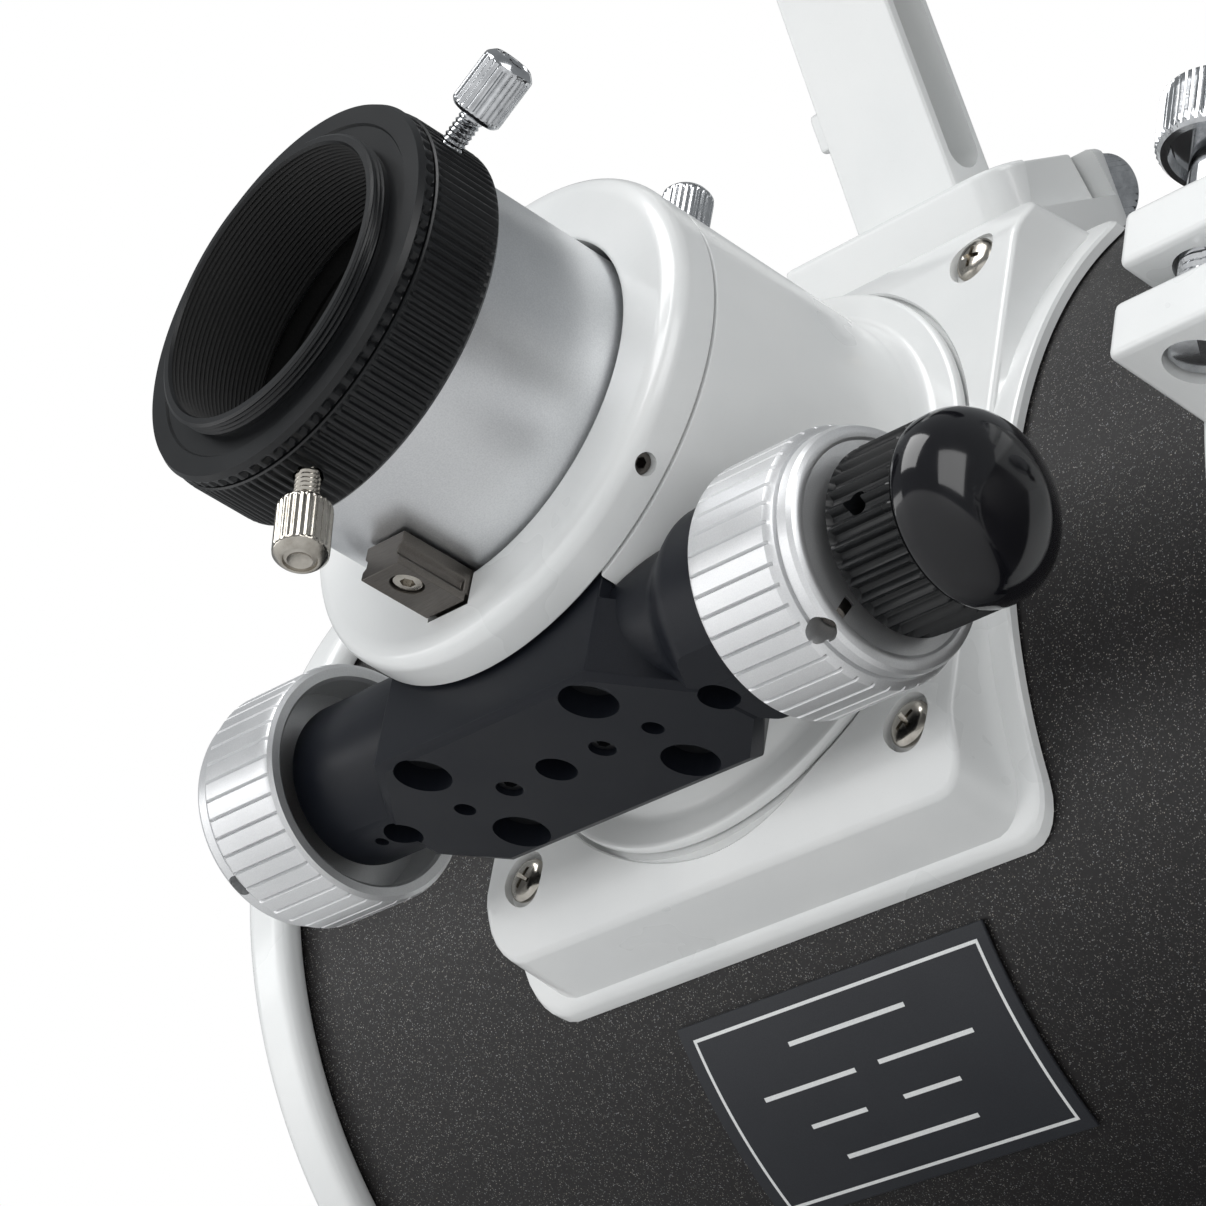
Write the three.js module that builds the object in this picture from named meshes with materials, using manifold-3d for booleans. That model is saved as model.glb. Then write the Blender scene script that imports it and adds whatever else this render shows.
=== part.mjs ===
// Newtonian reflector, optical tube assembly: a rolled steel tube on two clamp rings and a dovetail bar,
// with a roller focuser, a finder in a dovetail shoe, a spider-held flat and a collimated main mirror.
// Millimetres. Row frame: +X along the tube towards the main mirror, +Z up, the focuser points to -Y.
// The origin is under the tube, in the middle of the dovetail bar's foot.
import * as THREE from "three";
import { mergeVertices } from "three/addons/utils/BufferGeometryUtils.js";
import Module from "manifold-3d";

const wasm = await Module();
wasm.setup();

// ---------------------------------------------------------------- driving dimensions
const GAP = 0.3; // clearance between touching pieces
const FACETS = 48; // facets of the tube and of everything that fits on it
const MID_FACETS = 32;
const KNOB_FACETS = 20;
const SMALL_FACETS = 8;

const TUBE_RADIUS = 90; // outside of the steel tube
const TUBE_WALL = 1.2;
const TUBE_FRONT = -118; // open end, measured from the focuser axis
const TUBE_REAR = 437;

const RIM_STAND = 5; // how far the end rings stand out from the tube
const FRONT_RIM_LIP = TUBE_FRONT + 6;
const FRONT_RIM_DEPTH = 13;
const REAR_CELL_LIP = TUBE_REAR - 13;
const REAR_CELL_BACK = TUBE_REAR + 4;
const CELL_PLATE = 5;

const MIRROR_RADIUS = 75; // main mirror, 150 mm aperture
const MIRROR_FACE = TUBE_REAR - 62; // its edge, measured from the focuser axis
const MIRROR_EDGE = 22;
const MIRROR_SAG = 2.3; // depth of the curve at the middle
const TRAY_RADIUS = MIRROR_RADIUS + 7;
const TRAY_THICK = 8;
const CELL_BOLT_CIRCLE = MIRROR_RADIUS - 10;
const CELL_BOLT_RADIUS = 2.5;
const CELL_WINDOW_RADIUS = 22;
const CELL_WINDOW_CIRCLE = MIRROR_RADIUS - 27;
const LOCK_BOLT_ANGLE = 16; // each lock screw stands this many degrees beside its knob
const SPRING_RADIUS = 5.2;
const SPRING_WIRE = 0.8;
const TILT_ROOM = 2.2; // air kept on each side of the tray for its tilt
const CELL_KNOB_RADIUS = 9;
const CELL_KNOB_LENGTH = 12;
const LOCK_HEAD_RADIUS = 4.2;
const LOCK_HEAD_LENGTH = 8;
const CLIP_HALF = 6; // half the width of a mirror clip
const CLIP_STAND = 3; // how far it rises past the mirror
const CLIP_LIP = 5; // how far it reaches over the mirror
const CLIP_AIR = 0.8;

const FLAT_RADIUS = 29; // half the short axis of the diagonal mirror
const FLAT_THICK = 8;
const HOLDER_RADIUS = FLAT_RADIUS - 2;
const HOLDER_FRONT = -FLAT_RADIUS - 23;
const HUB_RADIUS = 15;
const HUB_REAR = HOLDER_FRONT - 10;
const HUB_FRONT = HUB_REAR - 38;
const VANE_FRONT = HUB_FRONT + 5;
const VANE_REAR = HUB_REAR - 5;
const VANE_THICK = 1;
const STUD_RADIUS = 3;
const FLAT_SCREW_CIRCLE = 9.5; // the three screws that tilt the diagonal mirror
const FLAT_SCREW_RADIUS = 1.6;

const DRAW_RADIUS = 28.75; // outside of the sliding drawtube
const DRAW_BORE = DRAW_RADIUS - 4.05;
const DRAW_FRONT = TUBE_RADIUS + 78.8;
const DRAW_REAR = TUBE_RADIUS - 24;
const BODY_BORE = DRAW_RADIUS + 4.25;
const BODY_RADIUS = BODY_BORE + 8;
const BODY_FRONT = TUBE_RADIUS + 46.7;
const RING_FRONT = BODY_FRONT + 8.2;
const RING_BORE = DRAW_RADIUS + 0.85;
const FLANGE_RADIUS = BODY_RADIUS + 6.6;
const FLANGE_TOP = TUBE_RADIUS + 4.2;
const FLANGE_SEAT = TUBE_RADIUS + 1.6;
const SPIGOT_RADIUS = BODY_RADIUS + 2;
const SPIGOT_END = TUBE_RADIUS - 6;

const BASE_HALF_X = FLANGE_RADIUS + 4.4;
const BASE_HALF_Y = FLANGE_RADIUS + 4.9;
const BASE_TOP = TUBE_RADIUS + 2.8;
const BASE_SHOULDER_Y = BASE_HALF_Y - 9.5;
const BASE_SHOULDER_DROP = 5.6;
const BASE_CORNER = 8;
const SKIRT_HALF_X = BASE_HALF_X + 5;
const SKIRT_HALF_Y = BASE_HALF_Y + 2.5;
const SKIRT_THICK = 3.4;
const BASE_ROOT = 12; // raw depth of the casting below its lowest edge, before the tube's skin is cut away
const BASE_SCREW_X = BASE_HALF_X - 9.3;
const BASE_SCREW_Y = BASE_HALF_Y - 11.4;
const BASE_SCREW_HEAD = 3.7;
const BASE_SCREW_SHANK = 2;
const BASE_SCREW_END = TUBE_RADIUS - 18;

const SHAFT_Y = -DRAW_RADIUS - 7.45; // focuser drive shaft, parallel to the tube
const SHAFT_Z = TUBE_RADIUS + 31.5;
const SHAFT_RADIUS = 2.5;
const SHAFT_HALF = 78;
const BLOCK_HALF = 24;
const BLOCK_WING = 37;
const BLOCK_TOP = -DRAW_RADIUS - 1.55;
const BLOCK_FACE = SHAFT_Y - 13;
const BLOCK_FRONT = SHAFT_Z + 14.9;
const BLOCK_BACK = SHAFT_Z - 16;
const NECK_RADIUS = 13;
const NECK_END = 50;
const RAIL_HALF = 4.3;
const RAIL_STOP_BACK = TUBE_RADIUS + 55.3;
const RAIL_STOP_FRONT = RAIL_STOP_BACK + 12.5;
const RAIL_STOP_BOTTOM = -DRAW_RADIUS - 5.85;
const RAIL_REAR = TUBE_RADIUS - 18;
const COARSE_RADIUS = 19.2;
const COARSE_INNER = 47.6;
const COARSE_OUTER = 68;
const COARSE_HOLLOW = 16.4;
const COARSE_HOLLOW_DEPTH = 8;
const FINE_RADIUS = 14;
const FINE_INNER = 69.6;
const FINE_OUTER = 85;
const FINE_DOME = 93;

const ADAPTER_RADIUS = 31.1; // knurled ring that carries the camera thread
const ADAPTER_REAR = DRAW_FRONT + GAP;
const ADAPTER_FRONT = ADAPTER_REAR + 12;
const THREAD_DISC_RADIUS = 30.8;
const THREAD_DISC_FRONT = ADAPTER_FRONT + 2.9;
const THREAD_RADIUS = 24;
const THREAD_FRONT = THREAD_DISC_FRONT + 3.1;
const THREAD_BORE = 22.3;
const ADAPTER_SCREW_Z = ADAPTER_REAR + 6.9;
const ADAPTER_SCREW_ANGLES = [40, -80];
const THUMB_HEAD_RADIUS = 4.1;
const THUMB_HEAD_LENGTH = 10;
const THUMB_SHANK_RADIUS = 1.9;
const THUMB_STAND = 5; // bare thread between the wall and the head
const LOCK_SCREW_X = 3;
const LOCK_SCREW_Z = TUBE_RADIUS + 28;

const SHOE_ANGLE = 52.5; // finder shoe, turned from the focuser axis towards the top
const SHOE_FRONT = -22.5;
const SHOE_REAR = 28;
const SHOE_HALF = 16;
const SHOE_TOP = TUBE_RADIUS + 17;
const SHOE_FLOOR = TUBE_RADIUS + 8.5;
const SHOE_ROOT = TUBE_RADIUS - 10;
const FOOT_HALF_TOP = 8.4;
const FOOT_HALF_BOTTOM = 10.6;
const STEM_FRONT = -13.5;
const STEM_REAR = 10;
const STEM_HALF = 5.25;
const STEM_WALL = 2.2;
const SHOE_SCREW_X = 14;
const SHOE_SCREW_HEAD = 6.4;
const SHOE_SCREW_STAND = 3;
const FINDER_HEIGHT = TUBE_RADIUS + 112; // finder axis above the tube axis, along the stem
const FINDER_RING_RADIUS = 28;
const FINDER_RING_BORE = 23;
const FINDER_SCREW_ANGLES = [150, 30];
const FINDER_RADIUS = 16;
const FINDER_OBJECTIVE_RADIUS = 19;
const FINDER_FRONT = -82;
const FINDER_CELL_REAR = -47;
const FINDER_REAR = 84;
const FINDER_WALL = 1.5;
const FINDER_LENS_SEAT = -60;
const FINDER_LENS_THICK = 7.4;
const EYEPIECE_RADIUS = 12.5;
const EYEPIECE_REAR = 106;
const EYEPIECE_FOCUS_ROOM = 4;
const EYEPIECE_INSERT = 14; // length of the eyepiece inside the finder's tube

const CLAMP_CENTRES = [107.5, TUBE_REAR - 137];
const CLAMP_WIDTH = 20;
const CLAMP_BAND = 4.7;
const CLAMP_SPLIT = 3; // half the gap between the two ears
const EAR_THICK = 9.5;
const EAR_END = TUBE_RADIUS + 23;
const EAR_ROOT = TUBE_RADIUS;
const ARM_SPLIT = 10 - TUBE_RADIUS; // beyond this the halves part at the hinge's own gap
const CLAMP_SCREW_Z = TUBE_RADIUS + 15;
const CLAMP_SCREW_RADIUS = 4.5;
const CLAMP_SCREW_ROOM = 0.7;
const CLAMP_HEAD_RADIUS = 9.5;
const CLAMP_HEAD_LOW = 22;
const CLAMP_HEAD_HIGH = 32.5;
const HINGE_Z = -TUBE_RADIUS - 11.5;
const HINGE_RADIUS = 5.5;
const HINGE_PIN_RADIUS = 2.5;
const KNUCKLE_HALF = 4;
const PAD_FACE = TUBE_RADIUS + 13;
const PAD_HALF = 20;

const BAR_FRONT = 75;
const BAR_REAR = TUBE_REAR - 102;
const BAR_THICK = 14;
const BAR_HALF_TOP = 19;
const BAR_HALF_FOOT = 22;

const PLATE_FRONT = -30; // data plate on the tube
const PLATE_REAR = 36.5;
const PLATE_ANGLES = [41.5, 63.7];
const PLATE_THICK = 0.6;

const FOOT_DROP = PAD_FACE + GAP + BAR_THICK; // tube axis above the foot of the bar

// ---------------------------------------------------------------- finishes
const finish = (color, roughness, metalness) =>
  new THREE.MeshStandardMaterial({ color, roughness, metalness });
const BLACK_SPARKLE = finish(0x1b1a1b, 0.55, 0.35);
const WHITE_CAST = finish(0xe9eae8, 0.35, 0.0);
const SATIN_SILVER = finish(0xc8cacc, 0.35, 0.9);
const BLUE_BLACK = finish(0x23262e, 0.5, 0.6);
const SATIN_BLACK = finish(0x151617, 0.4, 0.4);
const CHROME = finish(0xd6d8da, 0.12, 1.0);
const NICKEL = finish(0xbab4a8, 0.25, 1.0);
const DARK_STEEL = finish(0x4e4b48, 0.4, 0.9);
const MIRROR_COAT = finish(0xe6eef2, 0.03, 1.0);
const LENS_GLASS = finish(0x9db6b0, 0.05, 0.0);

// ---------------------------------------------------------------- solids
// A closed geometry becomes a solid: shared corners are merged and faces turned outwards.
function solid(geometry) {
  const bare = geometry.index ? geometry.toNonIndexed() : geometry.clone();
  bare.deleteAttribute("normal");
  bare.deleteAttribute("uv");
  const merged = mergeVertices(bare, 1e-4);
  const corners = merged.getAttribute("position").array;
  const index = merged.getIndex().array;
  const kept = [];
  let volume = 0;
  const a = new THREE.Vector3();
  const b = new THREE.Vector3();
  const c = new THREE.Vector3();
  for (let i = 0; i < index.length; i += 3) {
    const [p, q, r] = [index[i], index[i + 1], index[i + 2]];
    if (p === q || q === r || r === p) continue;
    kept.push(p, q, r);
    a.fromArray(corners, 3 * p);
    b.fromArray(corners, 3 * q);
    c.fromArray(corners, 3 * r);
    volume += a.dot(b.cross(c));
  }
  if (volume < 0) kept.reverse();
  const mesh = new wasm.Mesh({
    numProp: 3,
    vertProperties: new Float32Array(corners),
    triVerts: new Uint32Array(kept),
  });
  return new wasm.Manifold(mesh);
}

function moved(geometry, position, rotation = [0, 0, 0]) {
  const turn = new THREE.Quaternion().setFromEuler(new THREE.Euler(...rotation));
  const size = new THREE.Vector3(1, 1, 1);
  const place = new THREE.Matrix4().compose(new THREE.Vector3(...position), turn, size);
  return geometry.clone().applyMatrix4(place);
}

const join = (first, ...others) => others.reduce((whole, other) => whole.add(other), first);
const cut = (first, ...others) => others.reduce((whole, other) => whole.subtract(other), first);

// Box between two corners.
function block(low, high) {
  const size = high.map((value, axis) => value - low[axis]);
  const middle = high.map((value, axis) => (value + low[axis]) / 2);
  return solid(moved(new THREE.BoxGeometry(...size), middle));
}

// Body of revolution about +Z from a closed outline of [radius, height] points.
function turnedGeometry(outline, facets) {
  const points = outline.map(([radius, height]) => new THREE.Vector2(radius, height));
  if (outline[0][0] > 0) points.push(points[0].clone());
  return new THREE.LatheGeometry(points, facets).rotateX(Math.PI / 2);
}
const turned = (outline, facets) => solid(turnedGeometry(outline, facets));
// The same about the tube's own +X.
const turnedAlongX = (outline, facets) => solid(turnedGeometry(outline, facets).rotateY(Math.PI / 2));

const rod = (radius, low, high) => [[0, low], [radius, low], [radius, high], [0, high]];
const sleeve = (inner, outer, low, high) => [[inner, low], [outer, low], [outer, high], [inner, high]];

const rodZ = (radius, low, high, x, y, facets) =>
  solid(turnedGeometry(rod(radius, low, high), facets).translate(x, y, 0));
const rodX = (radius, low, high, y, z, facets) =>
  solid(turnedGeometry(rod(radius, low, high), facets).rotateY(Math.PI / 2).translate(0, y, z));
const rodY = (radius, low, high, x, z, facets) =>
  solid(turnedGeometry(rod(radius, low, high), facets).rotateX(-Math.PI / 2).translate(x, 0, z));

// Prism along +X from an outline of [y, z] points.
function prismX(outline, low, high) {
  const shape = new THREE.Shape(outline.map(([y, z]) => new THREE.Vector2(y, z)));
  const geometry = new THREE.ExtrudeGeometry(shape, { depth: high - low, bevelEnabled: false });
  // the outline's first axis becomes Y, its second Z, and the depth runs along X
  const axes = new THREE.Matrix4().makeBasis(
    new THREE.Vector3(0, 1, 0), new THREE.Vector3(0, 0, 1), new THREE.Vector3(1, 0, 0));
  return solid(geometry.applyMatrix4(axes).translate(low, 0, 0));
}

// Prism along +Y from an outline of [x, z] points.
function prismY(outline, low, high) {
  const shape = new THREE.Shape(outline.map(([x, z]) => new THREE.Vector2(x, z)));
  const geometry = new THREE.ExtrudeGeometry(shape, { depth: high - low, bevelEnabled: false });
  // the outline's second axis becomes Z and the depth runs along Y
  const axes = new THREE.Matrix4().makeBasis(
    new THREE.Vector3(1, 0, 0), new THREE.Vector3(0, 0, 1), new THREE.Vector3(0, 1, 0));
  return solid(geometry.applyMatrix4(axes).translate(0, low, 0));
}

// Upright prism with rounded corners.
function roundedPrism(halfX, halfY, corner, low, high) {
  const shape = new THREE.Shape();
  shape.moveTo(-halfX + corner, -halfY);
  shape.lineTo(halfX - corner, -halfY);
  shape.absarc(halfX - corner, -halfY + corner, corner, -Math.PI / 2, 0);
  shape.absarc(halfX - corner, halfY - corner, corner, 0, Math.PI / 2);
  shape.absarc(-halfX + corner, halfY - corner, corner, Math.PI / 2, Math.PI);
  shape.absarc(-halfX + corner, -halfY + corner, corner, Math.PI, 1.5 * Math.PI);
  const depth = high - low;
  const geometry = new THREE.ExtrudeGeometry(shape, { depth, bevelEnabled: false, curveSegments: 4 });
  return solid(geometry.translate(0, 0, low));
}

function mesh(name, manifold, material) {
  const { vertProperties, triVerts } = manifold.getMesh();
  const geometry = new THREE.BufferGeometry();
  geometry.setAttribute("position", new THREE.BufferAttribute(new Float32Array(vertProperties), 3));
  geometry.setIndex(new THREE.BufferAttribute(new Uint32Array(triVerts), 1));
  const piece = new THREE.Mesh(geometry, material);
  piece.name = name;
  return piece;
}

const radians = THREE.MathUtils.degToRad;
const onCircle = (radius, degrees) => {
  const turn = radians(degrees);
  return [radius * Math.cos(turn), radius * Math.sin(turn)];
};

// ---------------------------------------------------------------- tube frame
// Inside this group +X runs along the tube, +Y is up and +Z runs out along the focuser.
const telescope = new THREE.Group();
const optics = new THREE.Group();
optics.rotation.x = Math.PI / 2;
optics.position.set(-(BAR_FRONT + BAR_REAR) / 2, 0, FOOT_DROP);
telescope.add(optics);
const tubeSkin = () => turnedAlongX(rod(TUBE_RADIUS + GAP, TUBE_FRONT, TUBE_REAR), FACETS);

function addTube() {
  const wall = sleeve(TUBE_RADIUS - TUBE_WALL, TUBE_RADIUS, TUBE_FRONT, TUBE_REAR);
  let tube = turnedAlongX(wall, FACETS);
  tube = cut(tube, rodZ(SPIGOT_RADIUS + GAP, 0, TUBE_RADIUS + RIM_STAND, 0, 0, MID_FACETS));
  for (const x of [-BASE_SCREW_X, BASE_SCREW_X]) {
    for (const y of [-BASE_SCREW_Y, BASE_SCREW_Y]) {
      tube = cut(tube, rodZ(BASE_SCREW_SHANK + GAP, 0, TUBE_RADIUS, x, y, SMALL_FACETS));
    }
  }
  optics.add(mesh("tube", tube, BLACK_SPARKLE));

  const lip = TUBE_RADIUS + GAP;
  const rim = TUBE_RADIUS + RIM_STAND;
  const front = FRONT_RIM_LIP - FRONT_RIM_DEPTH;
  const mouth = TUBE_RADIUS - RIM_STAND;
  const outline = [
    [lip, FRONT_RIM_LIP], [rim - 1, FRONT_RIM_LIP], [rim, FRONT_RIM_LIP - 1], [rim, front + 3],
    [rim - 3, front], [mouth + 1, front], [mouth, front + 1],
    [mouth, TUBE_FRONT - GAP], [lip, TUBE_FRONT - GAP],
  ];
  optics.add(mesh("front_ring", turnedAlongX(outline, FACETS), WHITE_CAST));
}

// ---------------------------------------------------------------- main mirror and its cell
const cellAngles = [90, 210, 330]; // about the tube axis, from +Y
const cellPoint = (radius, degrees) => onCircle(radius, degrees).reverse();

function addMainMirror() {
  const trayFront = MIRROR_FACE + MIRROR_EDGE + 1;
  const trayBack = trayFront + TRAY_THICK;
  const plateFront = REAR_CELL_BACK - CELL_PLATE;
  const boltEnd = trayFront + TILT_ROOM - REAR_CELL_BACK;
  const lockEnd = trayBack + TILT_ROOM - REAR_CELL_BACK;
  const lip = TUBE_RADIUS + GAP;
  const rim = TUBE_RADIUS + RIM_STAND;

  let cell = turnedAlongX([
    [0, plateFront], [TUBE_RADIUS - RIM_STAND, plateFront], [TUBE_RADIUS - RIM_STAND, TUBE_REAR + GAP],
    [lip, TUBE_REAR + GAP], [lip, REAR_CELL_LIP], [rim - 1, REAR_CELL_LIP], [rim, REAR_CELL_LIP + 1],
    [rim, REAR_CELL_BACK - 2], [rim - 2, REAR_CELL_BACK], [0, REAR_CELL_BACK],
  ], FACETS);
  let tray = turnedAlongX(rod(TRAY_RADIUS, trayFront, trayBack), MID_FACETS);
  for (const degrees of cellAngles) {
    const [y, z] = cellPoint(CELL_BOLT_CIRCLE, degrees);
    const [lockY, lockZ] = cellPoint(CELL_BOLT_CIRCLE, degrees + LOCK_BOLT_ANGLE);
    const [windowY, windowZ] = cellPoint(CELL_WINDOW_CIRCLE, degrees + 60);
    cell = cut(cell,
      rodX(CELL_BOLT_RADIUS + GAP, plateFront - 1, REAR_CELL_BACK + 1, y, z, SMALL_FACETS),
      rodX(CELL_BOLT_RADIUS + GAP, plateFront - 1, REAR_CELL_BACK + 1, lockY, lockZ, SMALL_FACETS),
      rodX(CELL_WINDOW_RADIUS, plateFront - 1, REAR_CELL_BACK + 1, windowY, windowZ, KNOB_FACETS));
    tray = cut(tray, rodX(CELL_BOLT_RADIUS + 1, trayFront - 1, trayBack + 1, y, z, SMALL_FACETS));
  }
  optics.add(mesh("rear_cell", cell, WHITE_CAST));
  optics.add(mesh("mirror_tray", tray, SATIN_BLACK));

  const face = [];
  const rings = 4;
  for (let i = rings; i >= 0; i -= 1) {
    const share = i / rings;
    face.push([MIRROR_RADIUS * share, MIRROR_FACE + MIRROR_SAG * (1 - share * share)]);
  }
  const back = MIRROR_FACE + MIRROR_EDGE;
  const blank = turnedAlongX([[0, back], [MIRROR_RADIUS, back], ...face], MID_FACETS);
  optics.add(mesh("primary_mirror", blank, MIRROR_COAT));

  cellAngles.forEach((degrees, index) => {
    const number = index + 1;
    const [y, z] = cellPoint(CELL_BOLT_CIRCLE, degrees);
    const knob = join(
      turned(rod(CELL_KNOB_RADIUS, GAP, CELL_KNOB_LENGTH), KNOB_FACETS),
      turned(rod(CELL_BOLT_RADIUS, boltEnd, CELL_KNOB_LENGTH / 2), SMALL_FACETS));
    const knobMesh = mesh(`collimation_knob_${number}`, knob, SATIN_BLACK);
    knobMesh.rotation.y = Math.PI / 2;
    knobMesh.position.set(REAR_CELL_BACK, y, z);
    optics.add(knobMesh);

    const [lockY, lockZ] = cellPoint(CELL_BOLT_CIRCLE, degrees + LOCK_BOLT_ANGLE);
    const lock = join(
      turned(rod(LOCK_HEAD_RADIUS, GAP, LOCK_HEAD_LENGTH), SMALL_FACETS),
      turned(rod(CELL_BOLT_RADIUS, lockEnd, LOCK_HEAD_LENGTH / 2), SMALL_FACETS));
    const lockMesh = mesh(`lock_screw_${number}`, lock, NICKEL);
    lockMesh.rotation.y = Math.PI / 2;
    lockMesh.position.set(REAR_CELL_BACK, lockY, lockZ);
    optics.add(lockMesh);

    const springLow = trayBack + TILT_ROOM;
    const springHigh = plateFront - GAP - SPRING_WIRE;
    const spring = springMesh(`collimation_spring_${number}`, springLow + SPRING_WIRE, springHigh);
    spring.position.set(0, y, z);
    optics.add(spring);

    const clip = new THREE.Group();
    const clipFront = MIRROR_FACE - CLIP_STAND;
    const clipBack = MIRROR_FACE - CLIP_AIR;
    const clipOuter = TRAY_RADIUS - 1;
    const clipPiece = join(
      block([clipFront, -CLIP_HALF, MIRROR_RADIUS + 1], [trayFront - GAP, CLIP_HALF, clipOuter]),
      block([clipFront, -CLIP_HALF, MIRROR_RADIUS - CLIP_LIP], [clipBack, CLIP_HALF, clipOuter]));
    clip.add(mesh(`mirror_clip_${number}`, clipPiece, SATIN_BLACK));
    clip.rotation.x = radians(-degrees - 60);
    optics.add(clip);
  });
}

// Compression spring along +X.
class Coil extends THREE.Curve {
  constructor(low, high, turns) {
    super();
    this.low = low;
    this.high = high;
    this.turns = turns;
  }

  getPoint(share, target = new THREE.Vector3()) {
    const angle = 2 * Math.PI * this.turns * share;
    const x = this.low + (this.high - this.low) * share;
    return target.set(x, SPRING_RADIUS * Math.cos(angle), SPRING_RADIUS * Math.sin(angle));
  }
}

function springMesh(name, low, high) {
  const turns = 4;
  const sides = 5;
  const corner = (_, i) => new THREE.Vector2(...onCircle(SPRING_WIRE, (360 * i) / sides));
  const corners = Array.from({ length: sides }, corner);
  const path = new Coil(low, high, turns);
  const sweep = { extrudePath: path, steps: 8 * turns };
  const wire = new THREE.ExtrudeGeometry(new THREE.Shape(corners), sweep);
  return mesh(name, solid(wire), CHROME);
}

// ---------------------------------------------------------------- spider, holder and diagonal mirror
// Slab between two planes that stand at 45 degrees and face +X and +Z.
function diagonalSlab(low, high) {
  const size = 4 * TUBE_RADIUS;
  const slab = new THREE.BoxGeometry(size, size, high - low).translate(0, 0, (low + high) / 2);
  return solid(slab.rotateY(Math.PI / 4));
}

function addDiagonal() {
  const column = (radius, low) => turnedAlongX(rod(radius, low, FLAT_RADIUS * 2), MID_FACETS);
  const mirror = column(FLAT_RADIUS, -FLAT_RADIUS * 2.5).intersect(diagonalSlab(-FLAT_THICK, 0));
  optics.add(mesh("secondary_mirror", mirror, MIRROR_COAT));

  const cup = cut(column(HOLDER_RADIUS, HOLDER_FRONT), diagonalSlab(-FLAT_THICK - GAP, FLAT_RADIUS * 4));
  const stud = turnedAlongX(rod(STUD_RADIUS, HUB_FRONT + 6, HOLDER_FRONT + 2), SMALL_FACETS);
  optics.add(mesh("secondary_holder", join(cup, stud), SATIN_BLACK));

  let spider = turnedAlongX(rod(HUB_RADIUS, HUB_FRONT, HUB_REAR), KNOB_FACETS);
  const reach = TUBE_RADIUS - TUBE_WALL - 2 * GAP;
  const half = VANE_THICK / 2;
  spider = join(spider,
    block([VANE_FRONT, -half, -reach], [VANE_REAR, half, reach]),
    block([VANE_FRONT, -reach, -half], [VANE_REAR, reach, half]));
  spider = cut(spider, turnedAlongX(rod(STUD_RADIUS + GAP, HUB_FRONT - 1, HUB_REAR + 1), SMALL_FACETS));
  cellAngles.forEach((degrees, index) => {
    const [y, z] = cellPoint(FLAT_SCREW_CIRCLE, degrees + 45);
    const screwRoom = FLAT_SCREW_RADIUS + GAP;
    spider = cut(spider, rodX(screwRoom, HUB_FRONT - 1, HUB_REAR + 1, y, z, SMALL_FACETS));
    const headRadius = FLAT_SCREW_RADIUS + 1;
    const headBack = HUB_FRONT - GAP;
    const tip = HOLDER_FRONT - GAP;
    const screw = turned([
      [0, HUB_FRONT - 3], [headRadius, HUB_FRONT - 3], [headRadius, headBack],
      [FLAT_SCREW_RADIUS, headBack], [FLAT_SCREW_RADIUS, tip], [0, tip],
    ], SMALL_FACETS);
    const screwMesh = mesh(`secondary_screw_${index + 1}`, screw, NICKEL);
    screwMesh.rotation.y = Math.PI / 2;
    screwMesh.position.set(0, y, z);
    optics.add(screwMesh);
  });
  optics.add(mesh("spider", spider, SATIN_BLACK));
}

// ---------------------------------------------------------------- focuser
function addFocuserBase() {
  const low = TUBE_RADIUS * Math.cos(Math.asin(SKIRT_HALF_Y / TUBE_RADIUS)) - BASE_ROOT;
  const edgeTop = BASE_TOP - BASE_SHOULDER_DROP;
  let base = roundedPrism(BASE_HALF_X, BASE_HALF_Y, BASE_CORNER, low, BASE_TOP);
  base = base.intersect(prismX([
    [-BASE_HALF_Y - 1, low], [BASE_HALF_Y + 1, low], [BASE_HALF_Y + 1, edgeTop],
    [BASE_SHOULDER_Y, BASE_TOP], [-BASE_SHOULDER_Y, BASE_TOP], [-BASE_HALF_Y - 1, edgeTop],
  ], -BASE_HALF_X - 1, BASE_HALF_X + 1));
  const skirtBlock = roundedPrism(SKIRT_HALF_X, SKIRT_HALF_Y, BASE_CORNER, low, BASE_TOP + 10);
  const saddle = turnedAlongX(rod(TUBE_RADIUS + SKIRT_THICK, -SKIRT_HALF_X, SKIRT_HALF_X), FACETS);
  base = join(base, saddle.intersect(skirtBlock));
  base = base.intersect(block(
    [-SKIRT_HALF_X - 1, -SKIRT_HALF_Y - 1, low], [SKIRT_HALF_X + 1, SKIRT_HALF_Y + 1, BASE_TOP]));
  base = cut(base, tubeSkin(),
    rodZ(SPIGOT_RADIUS + GAP, 0, BASE_TOP + 1, 0, 0, MID_FACETS),
    rodZ(FLANGE_RADIUS + GAP, FLANGE_SEAT, BASE_TOP + 1, 0, 0, MID_FACETS));
  const screwSeat = BASE_TOP - 1.8;
  let number = 0;
  for (const x of [-BASE_SCREW_X, BASE_SCREW_X]) {
    for (const y of [-BASE_SCREW_Y, BASE_SCREW_Y]) {
      number += 1;
      base = cut(base,
        rodZ(BASE_SCREW_HEAD + 0.9, screwSeat, BASE_TOP + 1, x, y, KNOB_FACETS),
        rodZ(BASE_SCREW_SHANK + GAP, 0, BASE_TOP, x, y, SMALL_FACETS));
      const screw = turned([
        [0, BASE_SCREW_END], [BASE_SCREW_SHANK, BASE_SCREW_END], [BASE_SCREW_SHANK, screwSeat + GAP],
        [BASE_SCREW_HEAD, screwSeat + GAP], [BASE_SCREW_HEAD, screwSeat + 1], [0, screwSeat + 2.2],
      ], SMALL_FACETS);
      const screwMesh = mesh(`base_screw_${number}`, screw, NICKEL);
      screwMesh.position.set(x, y, 0);
      optics.add(screwMesh);
    }
  }
  optics.add(mesh("focuser_base", base, WHITE_CAST));
}

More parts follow.
